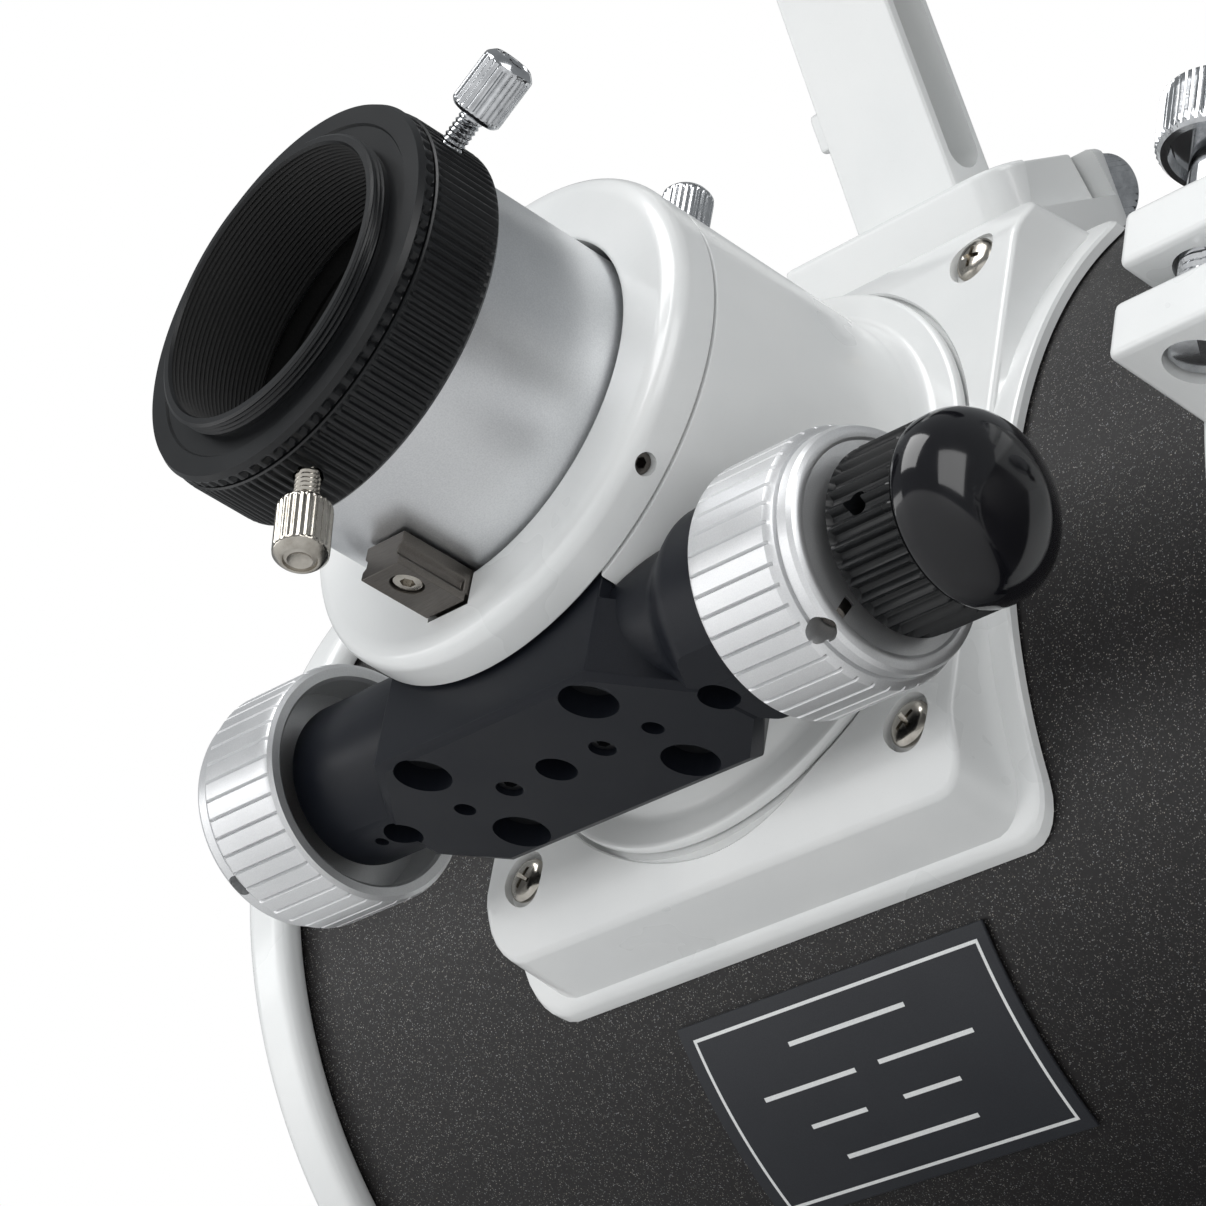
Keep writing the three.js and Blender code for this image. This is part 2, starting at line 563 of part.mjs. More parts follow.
function addFocuserBody() {
  let body = turned([
    [BODY_BORE, SPIGOT_END], [SPIGOT_RADIUS, SPIGOT_END], [SPIGOT_RADIUS, FLANGE_SEAT + GAP],
    [FLANGE_RADIUS, FLANGE_SEAT + GAP], [FLANGE_RADIUS, FLANGE_TOP - 1], [FLANGE_RADIUS - 1, FLANGE_TOP],
    [BODY_RADIUS + 2, FLANGE_TOP], [BODY_RADIUS, FLANGE_TOP + 4],
    [BODY_RADIUS, BODY_FRONT], [BODY_BORE, BODY_FRONT],
  ], MID_FACETS);
  const seat = block(
    [-BLOCK_HALF - GAP, -BODY_RADIUS - 1, BLOCK_BACK - GAP],
    [BLOCK_HALF + GAP, BLOCK_TOP + GAP, BODY_FRONT + 1]);
  const shankRoom = THUMB_SHANK_RADIUS + GAP;
  const lockHole = rodY(shankRoom, 0, BODY_RADIUS + 1, LOCK_SCREW_X, LOCK_SCREW_Z, SMALL_FACETS);
  const channel = block(
    [-RAIL_HALF - GAP, RAIL_STOP_BOTTOM - GAP, SPIGOT_END - 1], [RAIL_HALF + GAP, 0, BODY_FRONT + 1]);
  body = cut(body, seat, channel, lockHole);
  optics.add(mesh("focuser_body", body, WHITE_CAST));

  const rear = BODY_FRONT + GAP;
  let ring = turned([
    [RING_BORE, rear], [BODY_RADIUS, rear], [BODY_RADIUS, rear + 3], [BODY_RADIUS - 3, RING_FRONT],
    [RING_BORE, RING_FRONT],
  ], MID_FACETS);
  const notch = block(
    [-RAIL_HALF - GAP, RAIL_STOP_BOTTOM - GAP, rear - 1], [RAIL_HALF + GAP, 0, RING_FRONT + 1]);
  ring = cut(ring, notch);
  optics.add(mesh("body_ring", ring, WHITE_CAST));

  const lock = thumbScrew(BODY_RADIUS - DRAW_RADIUS - 2 * GAP);
  const lockMesh = mesh("tension_screw", lock, CHROME);
  lockMesh.rotation.x = -Math.PI / 2;
  lockMesh.position.set(LOCK_SCREW_X, BODY_RADIUS, LOCK_SCREW_Z);
  optics.add(lockMesh);
}

// Knurled screw along +Z whose wall face is at z = 0 and whose shank goes `depth` into the wall.
function thumbScrew(depth, headRadius = THUMB_HEAD_RADIUS, stand = THUMB_STAND) {
  const top = stand + THUMB_HEAD_LENGTH;
  return turned([
    [0, -depth], [THUMB_SHANK_RADIUS, -depth], [THUMB_SHANK_RADIUS, stand], [headRadius, stand],
    [headRadius, top - 1], [headRadius - 1, top], [0, top],
  ], SMALL_FACETS);
}

function addDrawtube() {
  const wall = sleeve(DRAW_BORE, DRAW_RADIUS, DRAW_REAR, DRAW_FRONT);
  optics.add(mesh("drawtube", turned(wall, MID_FACETS), SATIN_SILVER));

  const railTop = -DRAW_RADIUS - GAP;
  const railBottom = SHAFT_Y + SHAFT_RADIUS + GAP;
  const rail = join(
    block([-RAIL_HALF, railBottom, RAIL_REAR], [RAIL_HALF, railTop, RAIL_STOP_BACK + 1]),
    block([-RAIL_HALF, RAIL_STOP_BOTTOM, RAIL_STOP_BACK], [RAIL_HALF, railTop, RAIL_STOP_FRONT]));
  optics.add(mesh("drive_rail", rail, DARK_STEEL));

  const bore = THREAD_RADIUS + 1;
  let adapter = turned([
    [bore, ADAPTER_REAR], [ADAPTER_RADIUS - 0.5, ADAPTER_REAR], [ADAPTER_RADIUS, ADAPTER_REAR + 1],
    [ADAPTER_RADIUS, ADAPTER_FRONT - 1], [ADAPTER_RADIUS - 1, ADAPTER_FRONT], [bore, ADAPTER_FRONT],
  ], MID_FACETS);
  ADAPTER_SCREW_ANGLES.forEach((degrees, index) => {
    const hole = turnedGeometry(rod(THUMB_SHANK_RADIUS + GAP, 0, ADAPTER_RADIUS + 1), SMALL_FACETS);
    hole.rotateY(Math.PI / 2).rotateZ(radians(degrees)).translate(0, 0, ADAPTER_SCREW_Z);
    adapter = cut(adapter, solid(hole));
    const pointer = new THREE.Group();
    const screw = mesh(`adapter_screw_${index + 1}`, thumbScrew(ADAPTER_RADIUS - bore), CHROME);
    screw.rotation.y = Math.PI / 2;
    screw.position.x = ADAPTER_RADIUS;
    pointer.add(screw);
    pointer.rotation.z = radians(degrees);
    pointer.position.z = ADAPTER_SCREW_Z;
    optics.add(pointer);
  });
  optics.add(mesh("adapter_ring", adapter, SATIN_BLACK));

  const disc = ADAPTER_FRONT + GAP;
  const spigot = bore - GAP;
  const thread = turned([
    [THREAD_BORE, ADAPTER_REAR + 1], [spigot, ADAPTER_REAR + 1], [spigot, disc],
    [THREAD_DISC_RADIUS, disc],
    [THREAD_DISC_RADIUS, THREAD_DISC_FRONT - 0.6], [THREAD_DISC_RADIUS - 0.6, THREAD_DISC_FRONT],
    [THREAD_RADIUS, THREAD_DISC_FRONT], [THREAD_RADIUS, THREAD_FRONT], [THREAD_BORE, THREAD_FRONT],
  ], MID_FACETS);
  optics.add(mesh("thread_ring", thread, SATIN_BLACK));
}

function addDrive() {
  const shaftRoom = SHAFT_RADIUS + GAP;
  const wing = [
    [-BLOCK_HALF, BLOCK_FRONT], [BLOCK_HALF, BLOCK_FRONT],
    [BLOCK_WING - 1, SHAFT_Z + 2], [BLOCK_WING, SHAFT_Z - 8],
    [BLOCK_WING - 9, BLOCK_BACK], [-BLOCK_WING + 9, BLOCK_BACK], [-BLOCK_WING, SHAFT_Z - 8],
    [-BLOCK_WING + 1, SHAFT_Z + 2],
  ];
  let drive = join(
    prismY(wing, BLOCK_FACE, SHAFT_Y),
    block([-BLOCK_HALF, BLOCK_FACE + 1, BLOCK_BACK], [BLOCK_HALF, BLOCK_TOP, BLOCK_FRONT]),
    rodX(NECK_RADIUS, -NECK_END, NECK_END, SHAFT_Y, SHAFT_Z, KNOB_FACETS));
  const barrel = rodZ(BODY_RADIUS + 2 * GAP, SPIGOT_END, BODY_FRONT, 0, 0, MID_FACETS);
  const kept = block([-BLOCK_HALF, BLOCK_FACE - 1, 0], [BLOCK_HALF, BLOCK_TOP, BODY_FRONT + 1]);
  drive = cut(drive, cut(barrel, kept),
    block(
      [-RAIL_HALF - GAP, RAIL_STOP_BOTTOM - GAP, BLOCK_BACK - 1],
      [RAIL_HALF + GAP, 0, BLOCK_FRONT + 1]),
    rodX(shaftRoom, -NECK_END - 1, NECK_END + 1, SHAFT_Y, SHAFT_Z, SMALL_FACETS));
  optics.add(mesh("drive_block", drive, BLUE_BLACK));

  const drivetrain = new THREE.Group();
  drivetrain.rotation.y = Math.PI / 2; // local +Z runs along the shaft, towards +X
  drivetrain.position.set(0, SHAFT_Y, SHAFT_Z);
  optics.add(drivetrain);
  const shaft = turned(rod(SHAFT_RADIUS, -COARSE_OUTER + 4, SHAFT_HALF), SMALL_FACETS);
  drivetrain.add(mesh("drive_shaft", shaft, CHROME));

  const rim = COARSE_RADIUS - 1.2;
  const knobOutline = (bore) => [
    [bore, COARSE_INNER + COARSE_HOLLOW_DEPTH], [COARSE_HOLLOW, COARSE_INNER + COARSE_HOLLOW_DEPTH],
    [COARSE_HOLLOW, COARSE_INNER], [rim, COARSE_INNER], [COARSE_RADIUS, COARSE_INNER + 1.2],
    [COARSE_RADIUS, COARSE_OUTER - 1.2], [rim, COARSE_OUTER], [bore, COARSE_OUTER],
  ];
  const coarse = () => turned(knobOutline(SHAFT_RADIUS + GAP), KNOB_FACETS);
  drivetrain.add(mesh("coarse_knob_right", coarse(), SATIN_SILVER));
  const left = mesh("coarse_knob_left", coarse(), SATIN_SILVER);
  left.rotation.x = Math.PI;
  drivetrain.add(left);

  const fine = turned([
    [SHAFT_RADIUS + GAP, FINE_INNER], [FINE_RADIUS - 1, FINE_INNER], [FINE_RADIUS, FINE_INNER + 1],
    [FINE_RADIUS, FINE_OUTER], [FINE_RADIUS - 1, FINE_OUTER + 2], [FINE_RADIUS - 4.5, FINE_DOME - 2.5],
    [FINE_RADIUS - 9, FINE_DOME - 0.6], [0, FINE_DOME],
    [0, SHAFT_HALF + GAP], [SHAFT_RADIUS + GAP, SHAFT_HALF + GAP],
  ], KNOB_FACETS);
  drivetrain.add(mesh("fine_knob", fine, SATIN_BLACK));
}

// ---------------------------------------------------------------- finder
// Inside this group +Z is the stem's direction and +X still runs along the tube.
function addFinder() {
  const finder = new THREE.Group();
  finder.rotation.x = -radians(SHOE_ANGLE);
  optics.add(finder);

  const channel = [
    [-FOOT_HALF_BOTTOM - GAP, SHOE_FLOOR], [FOOT_HALF_BOTTOM + GAP, SHOE_FLOOR],
    [FOOT_HALF_TOP + GAP, SHOE_TOP + GAP], [-FOOT_HALF_TOP - GAP, SHOE_TOP + GAP],
  ];
  // the skin is turned so that its facets match the tube's in the shoe's own frame
  const skin = solid(turnedGeometry(rod(TUBE_RADIUS + GAP, TUBE_FRONT, TUBE_REAR), FACETS)
    .rotateY(Math.PI / 2).rotateX(radians(SHOE_ANGLE)));
  const screwZ = (SHOE_FLOOR + SHOE_TOP) / 2;
  let shoe = block([SHOE_FRONT, -SHOE_HALF, SHOE_ROOT], [SHOE_REAR, SHOE_HALF, SHOE_TOP]);
  shoe = cut(shoe, skin, prismX(channel, SHOE_FRONT - 1, SHOE_REAR + 1),
    rodY(THUMB_SHANK_RADIUS + GAP, 0, SHOE_HALF + 1, SHOE_SCREW_X, screwZ, SMALL_FACETS));
  finder.add(mesh("finder_shoe", shoe, WHITE_CAST));

  const screwDepth = SHOE_HALF - FOOT_HALF_BOTTOM + GAP;
  const shoeScrew = mesh("shoe_screw", thumbScrew(screwDepth, SHOE_SCREW_HEAD, SHOE_SCREW_STAND), CHROME);
  shoeScrew.rotation.x = -Math.PI / 2;
  shoeScrew.position.set(SHOE_SCREW_X, SHOE_HALF, screwZ);
  finder.add(shoeScrew);

  const footGap = 2 * GAP;
  const foot = prismX([
    [-FOOT_HALF_BOTTOM + GAP, SHOE_FLOOR + GAP], [FOOT_HALF_BOTTOM - GAP, SHOE_FLOOR + GAP],
    [FOOT_HALF_TOP - GAP, SHOE_TOP + footGap], [-FOOT_HALF_TOP + GAP, SHOE_TOP + footGap],
  ], SHOE_FRONT + 3, SHOE_REAR - 4);
  const hoop = rodX(FINDER_RING_RADIUS, STEM_FRONT, STEM_REAR, 0, FINDER_HEIGHT, KNOB_FACETS);
  const stem = block(
    [STEM_FRONT, -STEM_HALF, SHOE_TOP],
    [STEM_REAR, STEM_HALF, FINDER_HEIGHT - FINDER_RING_BORE - 1]);
  const pocketHalf = STEM_HALF - STEM_WALL;
  const pocket = block(
    [STEM_REAR - 6, -pocketHalf, SHOE_TOP + 4],
    [STEM_REAR + 1, pocketHalf, FINDER_HEIGHT - FINDER_RING_RADIUS - 3]);
  const bore = rodX(FINDER_RING_BORE, STEM_FRONT - 1, STEM_REAR + 1, 0, FINDER_HEIGHT, KNOB_FACETS);
  let bracket = cut(join(foot, stem, hoop), pocket, bore);

  const middle = (STEM_FRONT + STEM_REAR) / 2;
  const ringFlat = FINDER_RING_RADIUS * Math.cos(Math.PI / KNOB_FACETS);
  const reach = ringFlat - FINDER_RADIUS - 2 * GAP;
  FINDER_SCREW_ANGLES.forEach((degrees, index) => {
    const lean = -radians(90 - degrees);
    const hole = turnedGeometry(rod(THUMB_SHANK_RADIUS + GAP, 0, FINDER_RING_RADIUS + 1), SMALL_FACETS);
    bracket = cut(bracket, solid(hole.rotateX(lean).translate(middle, 0, FINDER_HEIGHT)));
    const holder = new THREE.Group();
    holder.position.set(middle, 0, FINDER_HEIGHT);
    holder.rotation.x = lean;
    const screw = mesh(`finder_screw_${index + 1}`, thumbScrew(reach), CHROME);
    screw.position.z = ringFlat;
    holder.add(screw);
    finder.add(holder);
  });
  finder.add(mesh("finder_bracket", bracket, WHITE_CAST));

  const scope = new THREE.Group();
  scope.rotation.y = Math.PI / 2;
  scope.position.z = FINDER_HEIGHT;
  finder.add(scope);
  const objectiveBore = FINDER_OBJECTIVE_RADIUS - FINDER_WALL;
  const tubeBore = FINDER_RADIUS - FINDER_WALL;
  const lensBack = FINDER_LENS_SEAT + FINDER_LENS_THICK;
  const ledge = lensBack + 2 * GAP;
  const tube = turned([
    [objectiveBore, FINDER_FRONT], [FINDER_OBJECTIVE_RADIUS, FINDER_FRONT],
    [FINDER_OBJECTIVE_RADIUS, FINDER_CELL_REAR], [FINDER_RADIUS, FINDER_CELL_REAR + 6],
    [FINDER_RADIUS, FINDER_REAR], [tubeBore, FINDER_REAR], [tubeBore, ledge], [objectiveBore, ledge],
  ], KNOB_FACETS);
  scope.add(mesh("finder_tube", tube, SATIN_BLACK));
  const lensRadius = objectiveBore - GAP;
  const lens = turned([
    [0, FINDER_LENS_SEAT], [lensRadius * 0.6, FINDER_LENS_SEAT + 0.8], [lensRadius, FINDER_LENS_SEAT + 2.4],
    [lensRadius, lensBack], [0, lensBack],
  ], KNOB_FACETS);
  scope.add(mesh("finder_objective", lens, LENS_GLASS));
  const barrelRadius = tubeBore - GAP;
  const collarRadius = EYEPIECE_RADIUS + 3;
  const collarFront = FINDER_REAR + EYEPIECE_FOCUS_ROOM;
  const eyeLens = EYEPIECE_REAR - 3;
  const eyepiece = turned([
    [0, FINDER_REAR - EYEPIECE_INSERT], [barrelRadius, FINDER_REAR - EYEPIECE_INSERT],
    [barrelRadius, collarFront], [collarRadius, collarFront], [collarRadius, collarFront + 8],
    [EYEPIECE_RADIUS, eyeLens], [EYEPIECE_RADIUS - 1.5, EYEPIECE_REAR],
    [EYEPIECE_RADIUS - 4, EYEPIECE_REAR], [EYEPIECE_RADIUS - 6, eyeLens], [0, eyeLens],
  ], KNOB_FACETS);
  scope.add(mesh("finder_eyepiece", eyepiece, SATIN_BLACK));
}

// ---------------------------------------------------------------- clamp rings and dovetail bar
function halfClamp(side, low, high) {
  // side +1 is the upper half, -1 the lower
  const inner = TUBE_RADIUS + GAP;
  const outer = inner + CLAMP_BAND;
  const wide = 2 * outer;
  const past = -outer - GAP;
  const hoop = turnedAlongX(sleeve(inner, outer, low, high), FACETS);
  const ear = side > 0
    ? block([low, CLAMP_SPLIT, EAR_ROOT], [high, CLAMP_SPLIT + EAR_THICK, EAR_END])
    : block([low, -CLAMP_SPLIT - EAR_THICK, EAR_ROOT], [high, -CLAMP_SPLIT, EAR_END]);
  const pad = side > 0
    ? block([low, outer - 6, -PAD_HALF], [high, PAD_FACE, PAD_HALF])
    : block([low, -PAD_FACE, -PAD_HALF], [high, -outer + 6, PAD_HALF]);
  const middle = (low + high) / 2;
  const arm = side > 0
    ? block([middle - KNUCKLE_HALF, GAP, HINGE_Z], [middle + KNUCKLE_HALF, HINGE_RADIUS, -outer + 4])
    : block([low, -HINGE_RADIUS, HINGE_Z], [high, -GAP, -outer + 4]);
  const knuckle = rodX(HINGE_RADIUS, low, high, 0, HINGE_Z, SMALL_FACETS);
  const room = KNUCKLE_HALF + GAP;
  const split = side > 0
    ? [block([low - 1, -wide, ARM_SPLIT], [high + 1, CLAMP_SPLIT, wide]),
      block([low - 1, -wide, past], [high + 1, GAP, ARM_SPLIT + 1])]
    : [block([low - 1, -CLAMP_SPLIT, ARM_SPLIT], [high + 1, wide, wide]),
      block([low - 1, -GAP, past], [high + 1, wide, ARM_SPLIT + 1])];
  let half = cut(join(hoop, ear, pad), ...split, tubeSkin());
  const hinge = side > 0
    ? join(arm, rodX(HINGE_RADIUS, middle - KNUCKLE_HALF, middle + KNUCKLE_HALF, 0, HINGE_Z, SMALL_FACETS))
    : cut(join(arm, knuckle),
      block([middle - room, -HINGE_RADIUS - GAP, HINGE_Z - HINGE_RADIUS - 1],
        [middle + room, HINGE_RADIUS + GAP, HINGE_Z + HINGE_RADIUS + GAP]));
  half = join(half, cut(hinge, tubeSkin()));
  const pinRoom = HINGE_PIN_RADIUS + GAP;
  const screwRoom = CLAMP_SCREW_RADIUS + CLAMP_SCREW_ROOM;
  const earOut = CLAMP_SPLIT + EAR_THICK + 1;
  return cut(half,
    rodX(pinRoom, low - 1, high + 1, 0, HINGE_Z, SMALL_FACETS),
    rodY(screwRoom, -earOut, earOut, middle, CLAMP_SCREW_Z, KNOB_FACETS));
}

function addClamps() {
  CLAMP_CENTRES.forEach((centre, index) => {
    const name = ["front", "rear"][index];
    const low = centre - CLAMP_WIDTH / 2;
    const high = centre + CLAMP_WIDTH / 2;
    optics.add(mesh(`${name}_clamp_lower`, halfClamp(-1, low, high), WHITE_CAST));
    optics.add(mesh(`${name}_clamp_upper`, halfClamp(1, low, high), WHITE_CAST));
    const pin = rodX(HINGE_PIN_RADIUS, low, high, 0, HINGE_Z, SMALL_FACETS);
    optics.add(mesh(`${name}_hinge_pin`, pin, CHROME));
    const tip = -CLAMP_SPLIT - EAR_THICK + 1;
    const screw = turned([
      [0, tip], [CLAMP_SCREW_RADIUS, tip], [CLAMP_SCREW_RADIUS, CLAMP_HEAD_LOW],
      [CLAMP_HEAD_RADIUS, CLAMP_HEAD_LOW], [CLAMP_HEAD_RADIUS, CLAMP_HEAD_HIGH - 1],
      [CLAMP_HEAD_RADIUS - 1, CLAMP_HEAD_HIGH], [0, CLAMP_HEAD_HIGH],
    ], KNOB_FACETS);
    const screwMesh = mesh(`${name}_clamp_screw`, screw, CHROME);
    screwMesh.rotation.x = -Math.PI / 2;
    screwMesh.position.set(centre, 0, CLAMP_SCREW_Z);
    optics.add(screwMesh);
  });
  const top = -PAD_FACE - GAP;
  const foot = top - BAR_THICK;
  const outline = [
    [foot, -BAR_HALF_FOOT], [foot + 4, -BAR_HALF_FOOT], [top, -BAR_HALF_TOP], [top, BAR_HALF_TOP],
    [foot + 4, BAR_HALF_FOOT], [foot, BAR_HALF_FOOT],
  ];
  optics.add(mesh("dovetail_bar", prismX(outline, BAR_FRONT, BAR_REAR), SATIN_BLACK));
}

// ---------------------------------------------------------------- data plate
function addDataPlate() {
  const inner = TUBE_RADIUS + GAP;
  const outer = inner + PLATE_THICK;
  const steps = 4;
  const outline = [];
  const point = (radius, share) => {
    const degrees = PLATE_ANGLES[0] + (PLATE_ANGLES[1] - PLATE_ANGLES[0]) * share;
    return [-radius * Math.sin(radians(degrees)), radius * Math.cos(radians(degrees))];
  };
  for (let i = 0; i <= steps; i += 1) outline.push(point(outer, i / steps));
  for (let i = steps; i >= 0; i -= 1) outline.push(point(inner, i / steps));
  optics.add(mesh("data_plate", prismX(outline, PLATE_FRONT, PLATE_REAR), SATIN_BLACK));
}

addTube();
addMainMirror();
addDiagonal();
addFocuserBase();
addFocuserBody();
addDrawtube();
addDrive();
addFinder();
addClamps();
addDataPlate();

export default telescope;
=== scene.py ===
"""Newtonian reflector telescope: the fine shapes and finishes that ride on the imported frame.

Lengths are in millimetres in the tube's own frame (X along the tube to the main mirror, Y up, Z out
along the focuser) until a mesh is placed; the placed mesh is in metres in the frame's own axes.
"""

import logging
import math
from dataclasses import dataclass
from enum import Enum
from typing import Callable, Iterable, Optional, Sequence, Union

import bmesh
import bpy
from mathutils import Matrix, Vector

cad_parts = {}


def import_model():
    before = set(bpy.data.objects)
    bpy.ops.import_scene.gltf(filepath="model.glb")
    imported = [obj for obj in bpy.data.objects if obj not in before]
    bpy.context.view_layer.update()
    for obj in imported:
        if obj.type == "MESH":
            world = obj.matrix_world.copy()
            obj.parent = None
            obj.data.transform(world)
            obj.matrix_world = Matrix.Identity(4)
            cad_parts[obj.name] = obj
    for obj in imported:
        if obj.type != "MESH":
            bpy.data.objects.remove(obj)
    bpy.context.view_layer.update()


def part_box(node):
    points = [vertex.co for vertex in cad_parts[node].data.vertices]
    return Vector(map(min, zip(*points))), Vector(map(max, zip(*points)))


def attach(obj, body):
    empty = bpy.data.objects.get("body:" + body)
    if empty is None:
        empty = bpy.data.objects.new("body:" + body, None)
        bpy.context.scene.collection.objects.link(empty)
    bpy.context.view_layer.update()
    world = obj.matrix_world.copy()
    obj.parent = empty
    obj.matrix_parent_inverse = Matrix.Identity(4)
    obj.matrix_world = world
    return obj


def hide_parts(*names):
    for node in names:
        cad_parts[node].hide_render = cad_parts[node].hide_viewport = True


LOG = logging.getLogger("telescope")
MM = 0.001
GAP = 0.3
# facets round a turned piece and round a thin rod
ROUND_FACETS = 96
ROD_FACETS = 48
# edges of knurled pieces and of plain rims stay crisp above these angles, in degrees
KNURL_CREASE = 24
RIM_CREASE = 30
# corners shorter than this, in millimetres, or straighter than this angle get no rounding
TINY = 1e-6
STRAIGHT_ANGLE = math.radians(165)
# sockets of the Mix node when it mixes colours
MIX_FIRST = 6
MIX_SECOND = 7
MIX_RESULT = 2
Number = Union[int, float]
Profile = Sequence[tuple[float, float]]
Point = Sequence[float]


# ------------------------------------------------------------------------------------ places
class Place:
    """A spot on the telescope: an origin and three axes, all in the tube's own frame."""

    focus_x: float = 0.0
    axis_z: float = 0.0

    def __init__(self, origin: Point = (0, 0, 0), axis: Point = (0, 0, 1), side: Optional[Point] = None) -> None:
        """Sets up the spot.

        Args:
            origin: where local zero lies, in millimetres.
            axis: the direction of local Z.
            side: the direction of local X, made square to the axis.
        """
        z = Vector(axis).normalized()
        x = Vector(side) if side is not None else (Vector((1, 0, 0)) if abs(z.x) < 0.9 else Vector((0, 1, 0)))
        x = (x - z * x.dot(z)).normalized()
        y = z.cross(x)
        self.matrix = Matrix((
            (x.x, y.x, z.x, origin[0]), (x.y, y.y, z.y, origin[1]), (x.z, y.z, z.z, origin[2]), (0, 0, 0, 1)))

    @classmethod
    def measure(cls) -> None:
        """Reads where the focuser and the tube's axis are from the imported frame."""
        low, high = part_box("drawtube")
        cls.focus_x = (low.x + high.x) / 2
        low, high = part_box("tube")
        cls.axis_z = (low.z + high.z) / 2

    def inside(self, other: "Place") -> "Place":
        """This spot, measured inside another one."""
        made = Place()
        made.matrix = other.matrix @ self.matrix
        return made

    def world(self) -> Matrix:
        """The matrix that takes local millimetres to the frame's metres."""
        to_frame = Matrix((
            (MM, 0, 0, self.focus_x), (0, 0, -MM, 0), (0, MM, 0, self.axis_z), (0, 0, 0, 1)))
        return to_frame @ self.matrix


TUBE = Place()


# ------------------------------------------------------------------------------------ shader maths
class Sock:
    """A node output that adds, multiplies and compares as a number does."""

    def __init__(self, graph: "Graph", socket: bpy.types.NodeSocket) -> None:
        """Wraps one output socket of a graph."""
        self.graph = graph
        self.socket = socket

    def _math(self, operation: str, *values: Union["Sock", Number]) -> "Sock":
        """A Math node on numbers and sockets."""
        return self.graph.node("ShaderNodeMath", {"operation": operation}, dict(enumerate(values)))

    def __add__(self, other: Union["Sock", Number]) -> "Sock":
        """Sum."""
        return self._math("ADD", self, other)

    __radd__ = __add__

    def __sub__(self, other: Union["Sock", Number]) -> "Sock":
        """Difference."""
        return self._math("SUBTRACT", self, other)

    def __rsub__(self, other: Number) -> "Sock":
        """A number less this."""
        return self._math("SUBTRACT", other, self)

    def __mul__(self, other: Union["Sock", Number]) -> "Sock":
        """Product."""
        return self._math("MULTIPLY", self, other)

    __rmul__ = __mul__

    def __gt__(self, other: Union["Sock", Number]) -> "Sock":
        """1 where this is the greater, else 0."""
        return self._math("GREATER_THAN", self, other)

    def __lt__(self, other: Union["Sock", Number]) -> "Sock":
        """1 where this is the smaller, else 0."""
        return self._math("LESS_THAN", self, other)

    def power(self, exponent: Number) -> "Sock":
        """This to a power."""
        return self._math("POWER", self, exponent)

    def size(self) -> "Sock":
        """This without its sign."""
        return self._math("ABSOLUTE", self)


Value = Union[Sock, Number, Sequence[float]]


class Graph:
    """The node tree of one material."""

    def __init__(self, name: str) -> None:
        """Starts a material that holds one Principled shader.

        Args:
            name: the material's name.
        """
        self.material = bpy.data.materials.new(name)
        self.material.use_nodes = True
        self.tree = self.material.node_tree
        self.shader = self.tree.nodes["Principled BSDF"]

    def node(self, kind: str, settings: dict[str, object], inputs: dict, output: Union[int, str] = 0) -> Sock:
        """Adds a node.

        Args:
            kind: the node's type.
            settings: its own settings, set before its sockets.
            inputs: values or links by socket name or number.
            output: the output that is wanted.

        Returns:
            The wrapped output.
        """
        made = self.tree.nodes.new(kind)
        for key, value in settings.items():
            if key == "stops":
                self._stops(made.color_ramp, value)
            else:
                setattr(made, key, value)
        for key, value in inputs.items():
            self.feed(made.inputs[key], value)
        return Sock(self, made.outputs[output])

    def feed(self, socket: bpy.types.NodeSocket, value: Value) -> None:
        """Links or sets one input socket."""
        if isinstance(value, Sock):
            self.tree.links.new(value.socket, socket)
        else:
            socket.default_value = value

    @staticmethod
    def _stops(ramp: bpy.types.ColorRamp, stops: Sequence[tuple[float, Sequence[float]]]) -> None:
        """Sets a ramp's stops."""
        while len(ramp.elements) > len(stops):
            ramp.elements.remove(ramp.elements[-1])
        while len(ramp.elements) < len(stops):
            ramp.elements.new(1.0)
        for element, (position, colour) in zip(ramp.elements, stops):
            element.position = position
            element.color = colour

    def place(self) -> Sock:
        """Object coordinates, in metres."""
        return self.node("ShaderNodeTexCoord", {}, {}, "Object")

    def noise(self, scale: float, detail: float = 2.0, where: Optional[Sock] = None, rough: float = 0.5) -> Sock:
        """Noise with about `scale` grains in a metre."""
        where = where or self.place()
        return self.node("ShaderNodeTexNoise", {}, {"Vector": where, "Scale": scale, "Detail": detail,
                                                    "Roughness": rough})

    def stretched(self, amounts: Sequence[float]) -> Sock:
        """Object coordinates scaled along each axis."""
        return self.node("ShaderNodeVectorMath", {"operation": "MULTIPLY"}, {0: self.place(), 1: amounts})

    def ramp(self, value: Sock, low: float, high: float, to_low: float = 0.0, to_high: float = 1.0) -> Sock:
        """Maps a range to another, held at both ends."""
        return self.node("ShaderNodeMapRange", {"clamp": True}, {
            "Value": value, "From Min": low, "From Max": high, "To Min": to_low, "To Max": to_high})

    def mix(self, share: Value, first: Value, second: Value) -> Sock:
        """Mixes two colours."""
        return self.node("ShaderNodeMix", {"data_type": "RGBA"}, {0: share, MIX_FIRST: first, MIX_SECOND: second},
                         MIX_RESULT)

    def bump(self, height: Sock, depth: float, strength: float = 1.0) -> Sock:
        """A normal from a height; depth is in metres."""
        return self.node("ShaderNodeBump", {}, {"Height": height, "Distance": depth, "Strength": strength})

    def split(self, vector: Sock, axis: str) -> Sock:
        """One part of a vector."""
        return self.node("ShaderNodeSeparateXYZ", {}, {0: vector}, axis)

    def dress(self, **inputs: Value) -> bpy.types.Material:
        """Sets the shader's sockets, with _ for a space, and gives the material."""
        for key, value in inputs.items():
            self.feed(self.shader.inputs[key.replace("_", " ")], value)
        return self.material


def grey(level: float) -> tuple[float, float, float, float]:
    """An even grey."""
    return level, level, level, 1.0


